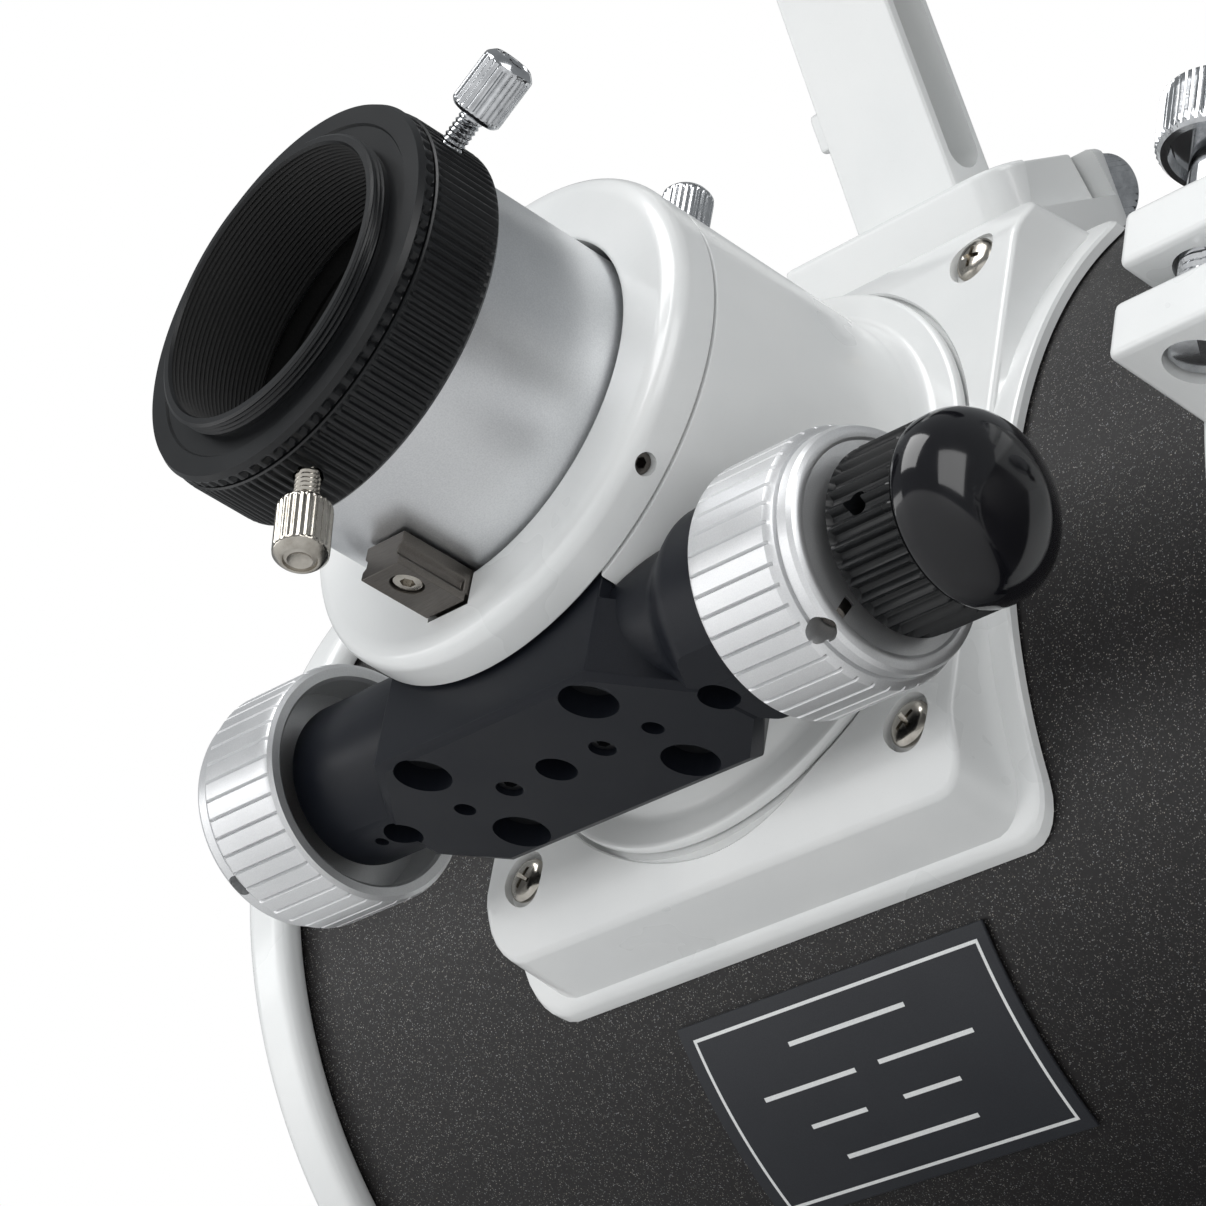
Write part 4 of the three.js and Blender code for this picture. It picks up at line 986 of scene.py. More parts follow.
@dataclass
class Barrel:
    """White focuser body with its front ring and its tension screw."""

    radius: float = 41.0
    bore: float = 33.0
    front: float = 136.7
    ring_front: float = 144.9
    ring_bore: float = 29.6
    flange: float = 47.6
    flange_top: float = 94.2
    seat: float = 91.9
    spigot: float = 43.0
    spigot_end: float = 84.0
    block_half: float = 24.3
    block_top: float = -30.0
    block_back: float = 105.2
    rail_half: float = 4.6
    rail_low: float = -34.9
    set_screw_angle: float = -30.0
    set_screw_z: float = 140.6
    tension_x: float = 3.0
    tension_z: float = 118.0

    def body(self) -> Form:
        """The barrel's mesh."""
        outer = [(self.bore, self.spigot_end), (self.spigot, self.spigot_end), (self.spigot, self.seat),
                 (self.flange, self.seat), (self.flange, self.flange_top), (self.radius + 2.6, self.flange_top)]
        cove = [(self.radius + 2.6 * (1 - math.sin(t)), self.flange_top + 3.4 * (1 - math.cos(t)))
                for t in (math.pi / 2 * i / 6 for i in range(1, 7))]
        end = [(self.radius, self.front), (self.bore, self.front)]
        solid = Form.turn([*rounded(outer, 0.9, 4, closed=False), *cove, *rounded(
            [cove[-1], *end, (self.bore, self.spigot_end)], 0.35, 2, closed=False)[1:-1]], 160)
        seat = Form.box((-self.block_half, -self.radius - 1, self.block_back),
                        (self.block_half, self.block_top, self.front + 1))
        channel = Form.box((-self.rail_half, self.rail_low, self.spigot_end - 1), (self.rail_half, -20, self.front + 1))
        hole = drill(2.2, 20, self.radius + 1, Place((self.tension_x, 0, self.tension_z), (0, 1, 0)))
        return solid.cut(seat, channel, hole)

    def ring(self) -> Form:
        """The front ring's mesh."""
        low = self.front + 0.3
        outline = [(self.radius, self.ring_front - 2.3), (self.radius - 0.8, self.ring_front - 0.7),
                   (self.radius - 2.9, self.ring_front), (self.ring_bore + 0.3, self.ring_front)]
        face = rounded([(self.radius, low + 0.3), *outline, (self.ring_bore, self.ring_front - 0.3)], 0.8, 4,
                       closed=False)
        solid = Form.turn([(self.ring_bore, low), (self.radius - 0.3, low), *face], 160)
        notch = Form.box((-self.rail_half, self.rail_low, low - 1), (self.rail_half, -20, self.ring_front + 1))
        turn = math.radians(self.set_screw_angle)
        spot = Place((0, 0, self.set_screw_z), (math.cos(turn), math.sin(turn), 0))
        return solid.cut(notch, drill(1.75, self.ring_bore + 1, self.radius + 1, spot))

    def build(self) -> None:
        """Shows the body, the ring and the screws."""
        self.body().show("focuser_barrel", Coat.WHITE, "root", TUBE, ["focuser_body"], second=Coat.MATT,
                         chooser=lambda c: math.hypot(c.x, c.y) < self.bore + 0.2, crease=28)
        self.ring().show("focuser_front_ring", Coat.WHITE, "root", TUBE, ["body_ring"], crease=28)
        turn = math.radians(self.set_screw_angle)
        reach = self.radius - 1.4
        spot = Place((reach * math.cos(turn), reach * math.sin(turn), self.set_screw_z),
                     (math.cos(turn), math.sin(turn), 0))
        SocketScrew(1.7, 4.0, 0.9).show("ring_set_screw", "root", spot)
        lock = Thumbscrew(self.radius - 28.75 - 2 * GAP)
        lock.show("tension_knob", "tension", Place((self.tension_x, self.radius, self.tension_z), (0, 1, 0)),
                  ["tension_screw"])


@dataclass
class Drawtube:
    """Sliding tube with its rail, the knurled adapter and the camera thread."""

    radius: float = 28.75
    bore: float = 24.7
    rear: float = 66.0
    front: float = 168.9
    rail_half: float = 4.3
    rail_low: float = -33.4
    rail_rear: float = 72.0
    stop_low: float = -34.6
    stop_rear: float = 145.3
    stop_front: float = 157.8
    adapter: float = 31.1
    adapter_rear: float = 169.1
    adapter_front: float = 181.1
    disc: float = 30.8
    disc_front: float = 184.0
    thread_radius: float = 24.0
    thread_front: float = 187.1
    thread_bore: float = 22.3
    screw_z: float = 176.0
    screw_angles: tuple[float, float] = (40.0, -80.0)

    def tube(self) -> Form:
        """The sliding tube, with fine baffle rings in its bore."""
        inside = []
        pitch = 1.5
        for i in range(int((self.front - self.rear - 6) / pitch)):
            z = self.front - 3 - i * pitch
            inside += [(self.bore, z), (self.bore + 0.5, z - pitch * 0.5)]
        outline = [*inside, (self.bore, self.rear), (self.radius - 0.4, self.rear), (self.radius, self.rear + 0.4),
                   (self.radius, self.front - 0.6), (self.radius - 0.5, self.front), (self.bore, self.front)]
        return Form.turn(outline, 128)

    def rail(self) -> Form:
        """The flat drive rail and the grooved stop at its end."""
        top = -self.radius - GAP
        bar = Form.box((-self.rail_half, self.rail_low, self.rail_rear), (self.rail_half, top, self.stop_rear + 0.6))
        stop = [(-self.rail_half, self.stop_low), (self.rail_half, self.stop_low), (self.rail_half, -33.2),
                (self.rail_half - 0.7, -32.7), (self.rail_half - 0.7, -31.6), (self.rail_half, -31.1),
                (self.rail_half, top), (-self.rail_half, top), (-self.rail_half, -31.1),
                (-self.rail_half + 0.7, -31.6), (-self.rail_half + 0.7, -32.7), (-self.rail_half, -33.2)]
        block = Form.prism(stop, self.stop_rear, self.stop_front)
        screw = Place((0.7, self.stop_low, 153.1), (0, -1, 0))
        return bar.join(block).cut(drill(2.55, -1.6, 1, screw)).bevel(0.25, 2)

    def adapter_ring(self) -> Form:
        """The knurled ring round the camera thread."""
        bore = self.thread_radius + 1.05
        low, high = self.adapter_rear, self.adapter_front
        side = [(self.adapter, low + 1.0 + (high - low - 2.0) * i / 10) for i in range(11)]
        outline = [(bore, low), (self.adapter - 0.7, low), (self.adapter - 0.1, low + 0.6), *side,
                   (self.adapter - 0.1, high - 0.2), (self.adapter - 0.4, high), (bore, high)]
        knurl = groove(112, 0.6, 0.72, low + 0.9, high - 0.3, 0.5, self.adapter - 0.05)
        ring = Form.turn(outline, 112 * 6, knurl)
        holes = [drill(2.2, 20, self.adapter + 1, self.spot(a)) for a in self.screw_angles]
        return ring.cut(*holes)

    def thread_ring(self) -> Form:
        """The black ring whose front carries the camera thread, with scallops round its disc."""
        spigot = self.thread_radius + 0.7
        low = self.adapter_rear + 1
        pitch = 0.75
        disc = self.adapter_front + GAP
        inner = [*ladder(self.thread_bore, self.disc_front + 2.6, low + 0.4, pitch / 4)]
        edge = [(self.disc, disc + 0.1 + i * 0.2) for i in range(8)] + [(self.disc, self.disc_front - 0.9)]
        outer = [*ladder(self.thread_radius, self.disc_front + 0.5, self.thread_front - 0.3, pitch / 5)]
        outline = [(self.thread_bore + 0.3, low), (spigot, low), (spigot, disc), (self.disc - 0.2, disc), *edge,
                   (self.disc - 0.5, self.disc_front), (self.thread_radius + 3.2, self.disc_front),
                   (self.thread_radius + 2.9, self.disc_front - 0.35),
                   (self.thread_radius - 0.45, self.disc_front - 0.35),
                   (self.thread_radius - 0.45, self.disc_front + 0.3), *outer,
                   (self.thread_radius - 0.5, self.thread_front), (self.thread_bore + 0.3, self.thread_front), *inner]
        male = thread(pitch, 0.4, self.disc_front, self.thread_front, self.thread_radius - 0.02,
                      self.thread_radius + 0.02)
        female = thread(pitch, -0.3, low, self.disc_front + 2.7, self.thread_bore - 0.02, self.thread_bore + 0.02)
        notches = 72

        def ripple(radius: float, height: float, angle: float) -> float:
            """Threads inside and outside, scallops round the disc."""
            if radius >= self.disc - 0.01:
                phase = abs((angle / math.tau * notches) % 1.0 - 0.5) * 2
                ends = max(0.0, min(1.0, (self.disc_front - 1.0 - height) / 0.5))
                return radius - 0.75 * max(0.0, 1 - phase / 0.75) * ends
            return female(male(radius, height, angle), height, angle)

        return Form.turn(outline, notches * 6, ripple)

    def spot(self, degrees: float) -> Place:
        """The axis of an adapter screw."""
        turn = math.radians(degrees)
        return Place((0, 0, self.screw_z), (math.cos(turn), math.sin(turn), 0))

    def build(self) -> None:
        """Shows every piece that slides."""
        self.tube().show("drawtube_sleeve", Coat.SILVER, "drawtube", TUBE, ["drawtube"], second=Coat.MATT,
                         chooser=lambda c: math.hypot(c.x, c.y) < self.bore + 0.8, crease=RIM_CREASE)
        self.rail().show("rail_and_stop", Coat.STEEL, "drawtube", TUBE, ["drive_rail"])
        screw = Place((0.7, self.stop_low + 0.35, 153.1), (0, -1, 0))
        SocketScrew(2.3, 1.2, 1.2).show("rail_screw", "drawtube", screw, Coat.NICKEL)
        self.adapter_ring().show("knurled_adapter", Coat.BLACK, "drawtube", TUBE, ["adapter_ring"], crease=20)
        self.thread_ring().show("camera_thread", Coat.BLACK, "camera_ring", TUBE, ["thread_ring"], second=Coat.MATT,
                                chooser=lambda c: math.hypot(c.x, c.y) < self.thread_bore + 0.35
                                and c.z < self.thread_front - 0.3, crease=KNURL_CREASE)
        for number, degrees in enumerate(self.screw_angles, start=1):
            turn = math.radians(degrees)
            spot = Place((self.adapter * math.cos(turn), self.adapter * math.sin(turn), self.screw_z),
                         (math.cos(turn), math.sin(turn), 0))
            metal = Coat.CHROME if number == 1 else Coat.NICKEL
            Thumbscrew(self.adapter - self.thread_radius - 1.1, coat=metal).show(
                f"adapter_knob_{number}", f"adapter_screw_{'ab'[number - 1]}", spot, [f"adapter_screw_{number}"])


@dataclass
class Drive:
    """Black drive block with the shaft, two coarse knobs and the fine knob."""

    shaft_y: float = -36.2
    shaft_z: float = 121.5
    half: float = 24.0
    wing: float = 37.0
    face: float = -49.2
    top: float = -30.3
    front: float = 136.4
    back: float = 105.5
    neck: float = 13.0
    neck_end: float = 50.0
    coarse: float = 19.2
    coarse_inner: float = 47.6
    coarse_outer: float = 68.0
    fine: float = 14.0
    fine_inner: float = 69.6
    dome_low: float = 82.6
    cap_radius: float = 14.1
    dome: float = 92.9

    def block(self) -> Form:
        """The block with its chamfers, necks and holes."""
        z = self.shaft_z
        wing = [(-self.half, self.front), (self.half, self.front), (self.wing - 1, z + 2), (self.wing, z - 8),
                (self.wing - 9, self.back), (-self.wing + 9, self.back), (-self.wing, z - 8), (-self.wing + 1, z + 2)]
        upright = Place((0, 0, 0), (0, -1, 0), (1, 0, 0))
        chamfer = 1.5
        inset = [(x * (1 - chamfer / self.wing), z - 1 + (h - z + 1) * (1 - chamfer / 15)) for x, h in wing]
        rings = [[(x, h, -self.shaft_y) for x, h in wing], [(x, h, -self.face - chamfer * 0.5) for x, h in wing],
                 [(x, h, -self.face) for x, h in inset]]
        plate = Form.loft(rings, closed=False).at(upright)
        middle = Form.box((-self.half, self.face + 3, self.back), (self.half, self.top, self.front))
        barrel = drill(41.55, 84, self.front + 2, TUBE, 160)
        core = Form.box((-self.half, self.face - 1, 0), (self.half, self.top, self.front + 2))
        solid = plate.join(middle).bevel(0.25, 2)
        shaft = Place((0, self.shaft_y, z), (1, 0, 0))
        slim = self.neck - 0.06
        neck = Form.turn(rounded([(0, -self.neck_end), (slim, -self.neck_end), (slim, self.neck_end),
                                  (0, self.neck_end)],
                                 0.8, 3), ROUND_FACETS).at(shaft)
        grown = [(0, 20), (12, 20), (12.4, 30), (13.4, 34), (15.2, 36.6), (16.1, 38.4), (16.1, 47.1), (0, 47.1)]
        flare = Form.turn(rounded(grown, 0.9, 3), ROUND_FACETS).at(shaft)
        flare = flare.cut(Form.box((-60, -80, 90), (60, self.face + 0.25, 150)))
        solid = solid.join(neck, flare)
        channel = Form.box((-4.6, -34.9, self.back - 1), (4.6, 0, self.front + 1))
        holes = [drill(2.8, -60, 60, shaft)]
        for x, h, radius, depth in (
                (-18.8, 130.9, 4.45, 6.0), (18.8, 130.9, 4.45, 6.0), (-19.0, 111.4, 4.45, 6.0),
            (19.0, 111.4, 4.45, 6.0),
                (0.0, 120.8, 3.15, 7.0), (-35.6, 121.0, 3.1, 5.0), (35.6, 121.0, 3.1, 5.0),
                (-40.3, 121.4, 1.1, 2.6), (-21.2, 120.7, 1.7, 6.0), (21.2, 120.7, 1.7, 6.0), (-10.5, 121.0, 2.1, 3.0),
            (10.5, 121.0, 2.1, 3.0)):
            holes.append(drill(radius, -1, depth, Place((x, self.face, h), (0, 1, 0))))
        return solid.cut(barrel.cut(core), channel, *holes)

    def coarse_knob(self) -> Form:
        """A coarse knob on local Z, its hollow side low."""
        low, high = self.coarse_inner, self.coarse_outer
        step = high - 3.6
        side = [(self.coarse, low + 1.1 + (step - low - 2.2) * i / 8) for i in range(9)]
        outline = [(2.8, low + 8), (16.4, low + 8), (16.4, low + 0.5), (16.9, low), (self.coarse - 0.9, low),
                   (self.coarse - 0.25, low + 0.5), *side, (self.coarse - 0.35, step - 0.5), (self.coarse - 1.0, step),
                   (self.coarse - 1.7, step + 0.1), (self.coarse - 1.75, step + 0.5), (self.coarse - 1.2, step + 0.7),
                   (self.coarse - 1.2, high - 1.2), (self.coarse - 1.6, high - 0.45), (self.coarse - 2.2, high - 0.1),
                   (self.coarse - 2.8, high), (self.coarse - 3.3, high - 0.12), (self.coarse - 3.7, high - 0.45),
                   (2.8, high - 0.6)]
        count = 40
        cuts = groove(count, 0.6, 0.2, low + 0.8, step + 2, 0.6, self.coarse - 0.05)
        return Form.turn(outline, count * 10, cuts)

    def fine_knob(self) -> Form:
        """The fine knob on local Z."""
        low, high = self.fine_inner, self.dome_low
        side = [(self.fine, low + 1.2 + (high - low - 1.9) * i / 8) for i in range(9)]
        outline = [(2.8, low), (self.fine - 0.9, low), (self.fine - 0.1, low + 0.7), *side,
                   (self.fine - 0.3, high - 0.25), (self.fine - 0.7, high), (2.8, high)]
        cuts = groove(32, 1.15, 0.9, low + 1.0, high - 0.4, 0.5, self.fine - 0.05)
        return Form.turn(outline, 32 * 10, cuts)

    def cap(self) -> Form:
        """The glossy domed cap."""
        low = self.dome_low + 0.05
        edge = low + 2.0
        rise = self.dome - edge
        arc = []
        for i in range(1, 25):
            turn = math.pi / 2 * i / 24
            arc.append((self.cap_radius * math.cos(turn) ** 0.82, edge + rise * math.sin(turn)))
        skirt = [(self.cap_radius - 0.6, low), (self.cap_radius - 0.15, low + 0.25), (self.cap_radius, low + 0.8)]
        return Form.turn([(0, low), *skirt, (self.cap_radius, edge), *arc[:-1], (0, self.dome)], 128)

    def build(self) -> None:
        """Shows the block, the shaft and the knobs."""
        self.block().show("drive_housing", Coat.BLOCK, "root", TUBE, ["drive_block"], crease=22)
        for side in (-1, 1):
            spot = Place((side * 10.5, self.face + 0.9, 121.0), (0, -1, 0))
            SocketScrew(2.0, 2.6, 1.05).show(f"housing_set_screw_{1 if side < 0 else 2}", "root", spot, Coat.BLACK)
            for row, (x, h) in enumerate(((18.8, 130.9), (19.0, 111.4))):
                deep = Place((side * x, self.face + 3.4, h), (0, -1, 0))
                name = f"housing_bolt_{1 + row + (0 if side < 0 else 2)}"
                SocketScrew(3.9, 2.4, 1.9).show(name, "root", deep, Coat.BLACK)
        shaft = Place((0, self.shaft_y, self.shaft_z), (1, 0, 0), (0, 0, 1))
        other = Place((0, self.shaft_y, self.shaft_z), (-1, 0, 0), (0, 0, 1))
        rod(2.45, -64, 77.5, 0.4).show("pinion_shaft", Coat.CHROME, "coarse_drive", shaft, ["drive_shaft"])
        knob = self.coarse_knob()
        turn = math.radians(-66)
        radial = (0, math.sin(turn), math.cos(turn))
        seat = (65.6, self.shaft_y, self.shaft_z)
        right = knob.at(shaft).cut(drill(2.1, 12, 20, Place(seat, radial)))
        right.show("coarse_wheel_right", Coat.KNOB, "coarse_drive", TUBE, ["coarse_knob_right"], crease=KNURL_CREASE)
        left = knob.at(other).cut(drill(1.9, 12, 20, Place((-65.6, self.shaft_y, self.shaft_z), radial)))
        left.show("coarse_wheel_left", Coat.KNOB, "coarse_drive", TUBE, ["coarse_knob_left"], crease=KNURL_CREASE)
        screw = Place((65.6, self.shaft_y + 14.8 * radial[1], self.shaft_z + 14.8 * radial[2]), radial)
        SocketScrew(2.0, 2.4, 1.1).show("wheel_set_screw", "coarse_drive", screw, Coat.STEEL)
        turn = math.radians(-12)
        radial = (0, math.sin(turn), math.cos(turn))
        fine = self.fine_knob().at(shaft).cut(drill(1.7, 8, 15, Place((75.5, self.shaft_y, self.shaft_z), radial)))
        fine.show("fine_wheel", Coat.BLACK, "fine_drive", TUBE, ["fine_knob"], crease=KNURL_CREASE)
        self.cap().show("fine_wheel_cap", Coat.GLOSS, "fine_drive", shaft, crease=RIM_CREASE)


# ------------------------------------------------------------------------------------ tube
@dataclass
class Shell:
    """The rolled tube, its front ring and its data plate."""

    radius: float = 90.0
    wall: float = 1.5
    front: float = -118.0
    rear: float = 437.0
    rim: float = 95.0
    lip: float = -112.0
    ring_front: float = -125.0
    mouth: float = 85.0
    hole: float = 43.3
    seam_angle: float = -96.0

    def tube(self) -> Form:
        """The tube's mesh, with its hole for the focuser."""
        inner = self.radius - self.wall
        steps = 12
        span = self.rear - self.front
        out = [(self.radius, self.front + span * i / steps) for i in range(steps + 1)]
        back = [(inner, h) for _, h in reversed(out)]
        along = Place((0, 0, 0), (1, 0, 0), (0, 0, 1))
        return Form.turn([*out, *back], 256).at(along).cut(drill(self.hole, 0, self.radius + 5, TUBE, ROUND_FACETS))

    def ring(self) -> Form:
        """The front ring's mesh, on local Z."""
        outline = [(self.radius + 0.3, self.lip), (self.radius + 3.4, self.lip), (self.rim, self.lip - 1.6),
                   (self.rim, self.ring_front + 4.2), (self.rim - 4.2, self.ring_front),
                   (self.mouth + 1.2, self.ring_front),
                   (self.mouth, self.ring_front + 1.4), (self.mouth, self.front - 0.3),
                   (self.radius + 0.3, self.front - 0.3)]
        return Form.turn(rounded(outline, 1.4, 4), 256)

    def patch(self, x_low: float, x_high: float, low: float, high: float, inner: float, outer: float) -> Form:
        """A curved plate on the tube between two lengths and two angles from the focuser, in degrees."""
        steps = 24
        rings = []
        for x in (x_low, x_high):
            ring = []
            for radius, order in ((outer, range(steps + 1)), (inner, range(steps, -1, -1))):
                for i in order:
                    angle = math.radians(low + (high - low) * i / steps)
                    ring.append((x, -radius * math.sin(angle), radius * math.cos(angle)))
            rings.append(ring)
        return Form.loft(rings, closed=False)

    def plate(self) -> None:
        """The data plate: a thin black plate with a white frame line and plain ruled lines."""
        base, face = self.radius + 0.3, self.radius + 0.9
        body = self.patch(-30, 36.5, 41.5, 63.7, base, face).bevel(0.15, 1)
        body.show("data_plate_sheet", Coat.PLATE, "root", TUBE, ["data_plate"])
        line, proud = 0.55, face + 0.03
        per_mm = 180 / (math.pi * proud)
        left, right, top, bottom = -27.4, 34.4, 43.0, 62.4
        strips = [(left, right, top, top + line * per_mm), (left, right, bottom - line * per_mm, bottom),
                  (left, left + line, top, bottom), (right - line, right, top, bottom)]
        for index, strip in enumerate(strips, start=1):
            self.patch(*strip, face - 0.02, proud).show(f"plate_frame_line_{index}", Coat.PRINT, "root")
        rows = [(46.2, ((-9, 16),)), (50.6, ((-19, 1), (6, 26))), (54.6, ((-13, -1), (7, 19))), (58.6, ((-10, 18),))]
        number = 0
        for angle, bars in rows:
            for low, high in bars:
                number += 1
                self.patch(low, high, angle, angle + 0.75 * per_mm, face - 0.02, proud).show(
                    f"plate_rule_{number}", Coat.PRINT, "root")

    def build(self) -> None:
        """Shows the tube, the ring and the plate."""
        self.tube().show("rolled_tube", Coat.TUBE, "root", TUBE, ["tube"], second=Coat.MATT,
                         chooser=lambda c: math.hypot(c.y, c.z) < self.radius - 0.3, crease=RIM_CREASE)
        along = Place((0, 0, 0), (1, 0, 0), (0, 0, 1))
        self.ring().show("mouth_ring", Coat.WHITE, "root", along, ["front_ring"], crease=28)
        seam = math.radians(self.seam_angle)
        strip = Form.box((self.lip + 0.5, -4, self.radius - 0.05), (423.5, 4, self.radius + 0.12))
        strip.at(Matrix.Rotation(seam, 4, "X")).bevel(0.05, 1).show("tube_seam", Coat.TUBE, "root")
        self.plate()


@dataclass
class Clamp:
    """One hinged tube ring with its pin and its screw."""

    name: str
    middle: float
    width: float = 20.0
    inner: float = 90.3
    outer: float = 95.0
    split: float = 3.0
    ear: float = 9.5
    ear_end: float = 113.0
    ear_root: float = 88.0
    screw_z: float = 105.0
    hinge_z: float = -101.5
    hinge: float = 5.5
    pad_face: float = 103.0
    pad_half: float = 20.0

    def half(self, side: int) -> Form:
        """One half, side +1 the upper."""
        low, high = self.middle - self.width / 2, self.middle + self.width / 2
        along = Place((0, 0, 0), (1, 0, 0), (0, 0, 1))
        hoop = Form.turn([(self.inner, low), (self.outer - 0.9, low), (self.outer, low + 0.9), (self.outer, high - 0.9),
                          (self.outer - 0.9, high), (self.inner, high)], 192).at(along)
        near, far = (self.split, self.split + self.ear) if side > 0 else (-self.split - self.ear, -self.split)
        ear = Form.box((low, near, self.ear_root), (high, far, self.ear_end)).bevel(1.3, 4)
        pad_low, pad_high = (self.outer - 6, self.pad_face) if side > 0 else (-self.pad_face, -self.outer + 6)
        pad = Form.box((low, pad_low, -self.pad_half), (high, pad_high, self.pad_half)).bevel(1.0, 3)
        skin = Form.turn([(0, low - 5), (self.inner, low - 5), (self.inner, high + 5), (0, high + 5)], 192).at(along)
        wide = 200
        if side > 0:
            away = [Form.box((low - 1, -wide, -80), (high + 1, self.split, wide)),
                    Form.box((low - 1, -wide, -95.3), (high + 1, GAP, -70))]
        else:
            away = [Form.box((low - 1, -self.split, -80), (high + 1, wide, wide)),
                    Form.box((low - 1, -GAP, -95.3), (high + 1, wide, -70))]
        solid = hoop.join(ear, pad).cut(*away, skin)
        knuckle_half = 4.0
        reach = (self.middle - knuckle_half, self.middle + knuckle_half) if side > 0 else (low, high)
        arm_low, arm_high = (GAP, self.hinge) if side > 0 else (-self.hinge, -GAP)
        arm = Form.box((reach[0], arm_low, self.hinge_z), (reach[1], arm_high, -self.outer + 4))
        eye = drill(self.hinge, reach[0], reach[1], Place((0, 0, self.hinge_z), (1, 0, 0)), 48)
        hinge = arm.join(eye)
        if side < 0:
            room = knuckle_half + GAP
            hinge = hinge.cut(Form.box((self.middle - room, -6, self.hinge_z - 7),
                                       (self.middle + room, 6, self.hinge_z + 5.8)))
        solid = solid.join(hinge.cut(skin))
        pin = drill(2.8, low - 1, high + 1, Place((0, 0, self.hinge_z), (1, 0, 0)))
        bolt = drill(5.2, -14, 14, Place((self.middle, 0, self.screw_z), (0, 1, 0)))
        tools = [pin, bolt]
        if side < 0:
            tools.append(drill(2.1, -1, 6, Place((self.middle, -self.split - self.ear, 98.5), (0, 1, 0))))
        return solid.cut(*tools)

    def screw(self) -> Form:
        """The knurled clamp screw on local Z, the split at zero."""
        low, high = 22.0, 32.5
        shank = ladder(4.5, -11.2, low - 0.3, 0.25)
        head = [(4.5, low + 1.6), (7.2, low + 1.6), (7.6, low), (8.6, low), (9.1, low + 0.5)]
        side = [(9.5, low + 1.0 + (high - low - 2.6) * i / 6) for i in range(7)]
        top = [(9.1, high - 1.0), (8.3, high - 0.25), (7.6, high), (6.4, high), (6.1, high - 0.5), (0, high - 0.7)]
        worm = thread(1.25, 0.55, -11.5, 9.0, 4.45, 4.55)
        cuts = groove(48, 0.5, 0.85, low + 0.8, high - 1.4, 0.6, 9.4)
        return Form.turn([(0, -11.5), (3.9, -11.5), *shank, *head, *side, *top], 48 * 6,
                         lambda r, h, a: cuts(worm(r, h, a), h, a))

    def build(self) -> None:
        """Shows the ring's pieces."""
        part = self.name
        self.half(-1).show(f"{part}_ring_lower", Coat.WHITE, "root", TUBE, [f"{part}_clamp_lower"], crease=26)
        self.half(1).show(f"{part}_ring_upper", Coat.WHITE, f"{part}_clamp", TUBE, [f"{part}_clamp_upper"], crease=26)
        pin = rod(2.5, self.middle - 9.9, self.middle + 9.9, 0.4, 32)
        pin.show(f"{part}_ring_pin", Coat.CHROME, "root", Place((0, 0, self.hinge_z), (1, 0, 0)), [f"{part}_hinge_pin"])
        spot = Place((self.middle, 0, self.screw_z), (0, 1, 0))
        self.screw().show(f"{part}_ring_screw", Coat.CHROME, f"{part}_clamp_bolt", spot, [f"{part}_clamp_screw"],
                          crease=RIM_CREASE)
        grub = Place((self.middle, -self.split - self.ear + 0.5, 98.5), (0, -1, 0))
        SocketScrew(2.05, 4.0, 1.1).show(f"{part}_ear_screw", "root", grub, Coat.STEEL)


@dataclass
class DovetailBar:
    """The long bar under both rings, with its bolts."""

    front: float = 75.0
    rear: float = 335.0
    top: float = -103.3
    thick: float = 14.0
    half_top: float = 19.0
    half_foot: float = 22.0

    def build(self) -> None:
        """Shows the bar and its bolts."""
        foot = self.top - self.thick
        outline = [(foot, -self.half_foot), (foot + 4, -self.half_foot), (self.top, -self.half_top),
                   (self.top, self.half_top), (foot + 4, self.half_foot), (foot, self.half_foot)]
        bar = Form.loft([[(x, y, z) for y, z in outline] for x in (self.front, self.rear)], closed=False).bevel(0.8, 3)
        tools = []
        bolts = (107.5, 300.0)
        for x in bolts:
            tools.append(drill(5.6, -1, 6.5, Place((x, foot, 0), (0, 1, 0))))
        slot = [(x, z) for x, z in ((150, -4), (255, -4), (255, 4), (150, 4))]
        tools.append(Form.prism(slot, -1, 5).at(Place((0, foot, 0), (0, 1, 0), (1, 0, 0))))
        bar.cut(*tools).show("dovetail_rail", Coat.BLACK, "root", TUBE, ["dovetail_bar"])
        for number, x in enumerate(bolts, start=1):
            head = Form.turn(rounded([(0, 1.2), (5.1, 1.2), (5.1, 6.3), (0, 6.3)], 0.5), 64)
            head = head.cut(Form.prism(circle(2.4, 6), 0, 4.2))
            head.show(f"rail_bolt_{number}", Coat.NICKEL, "root", Place((x, foot, 0), (0, 1, 0)))


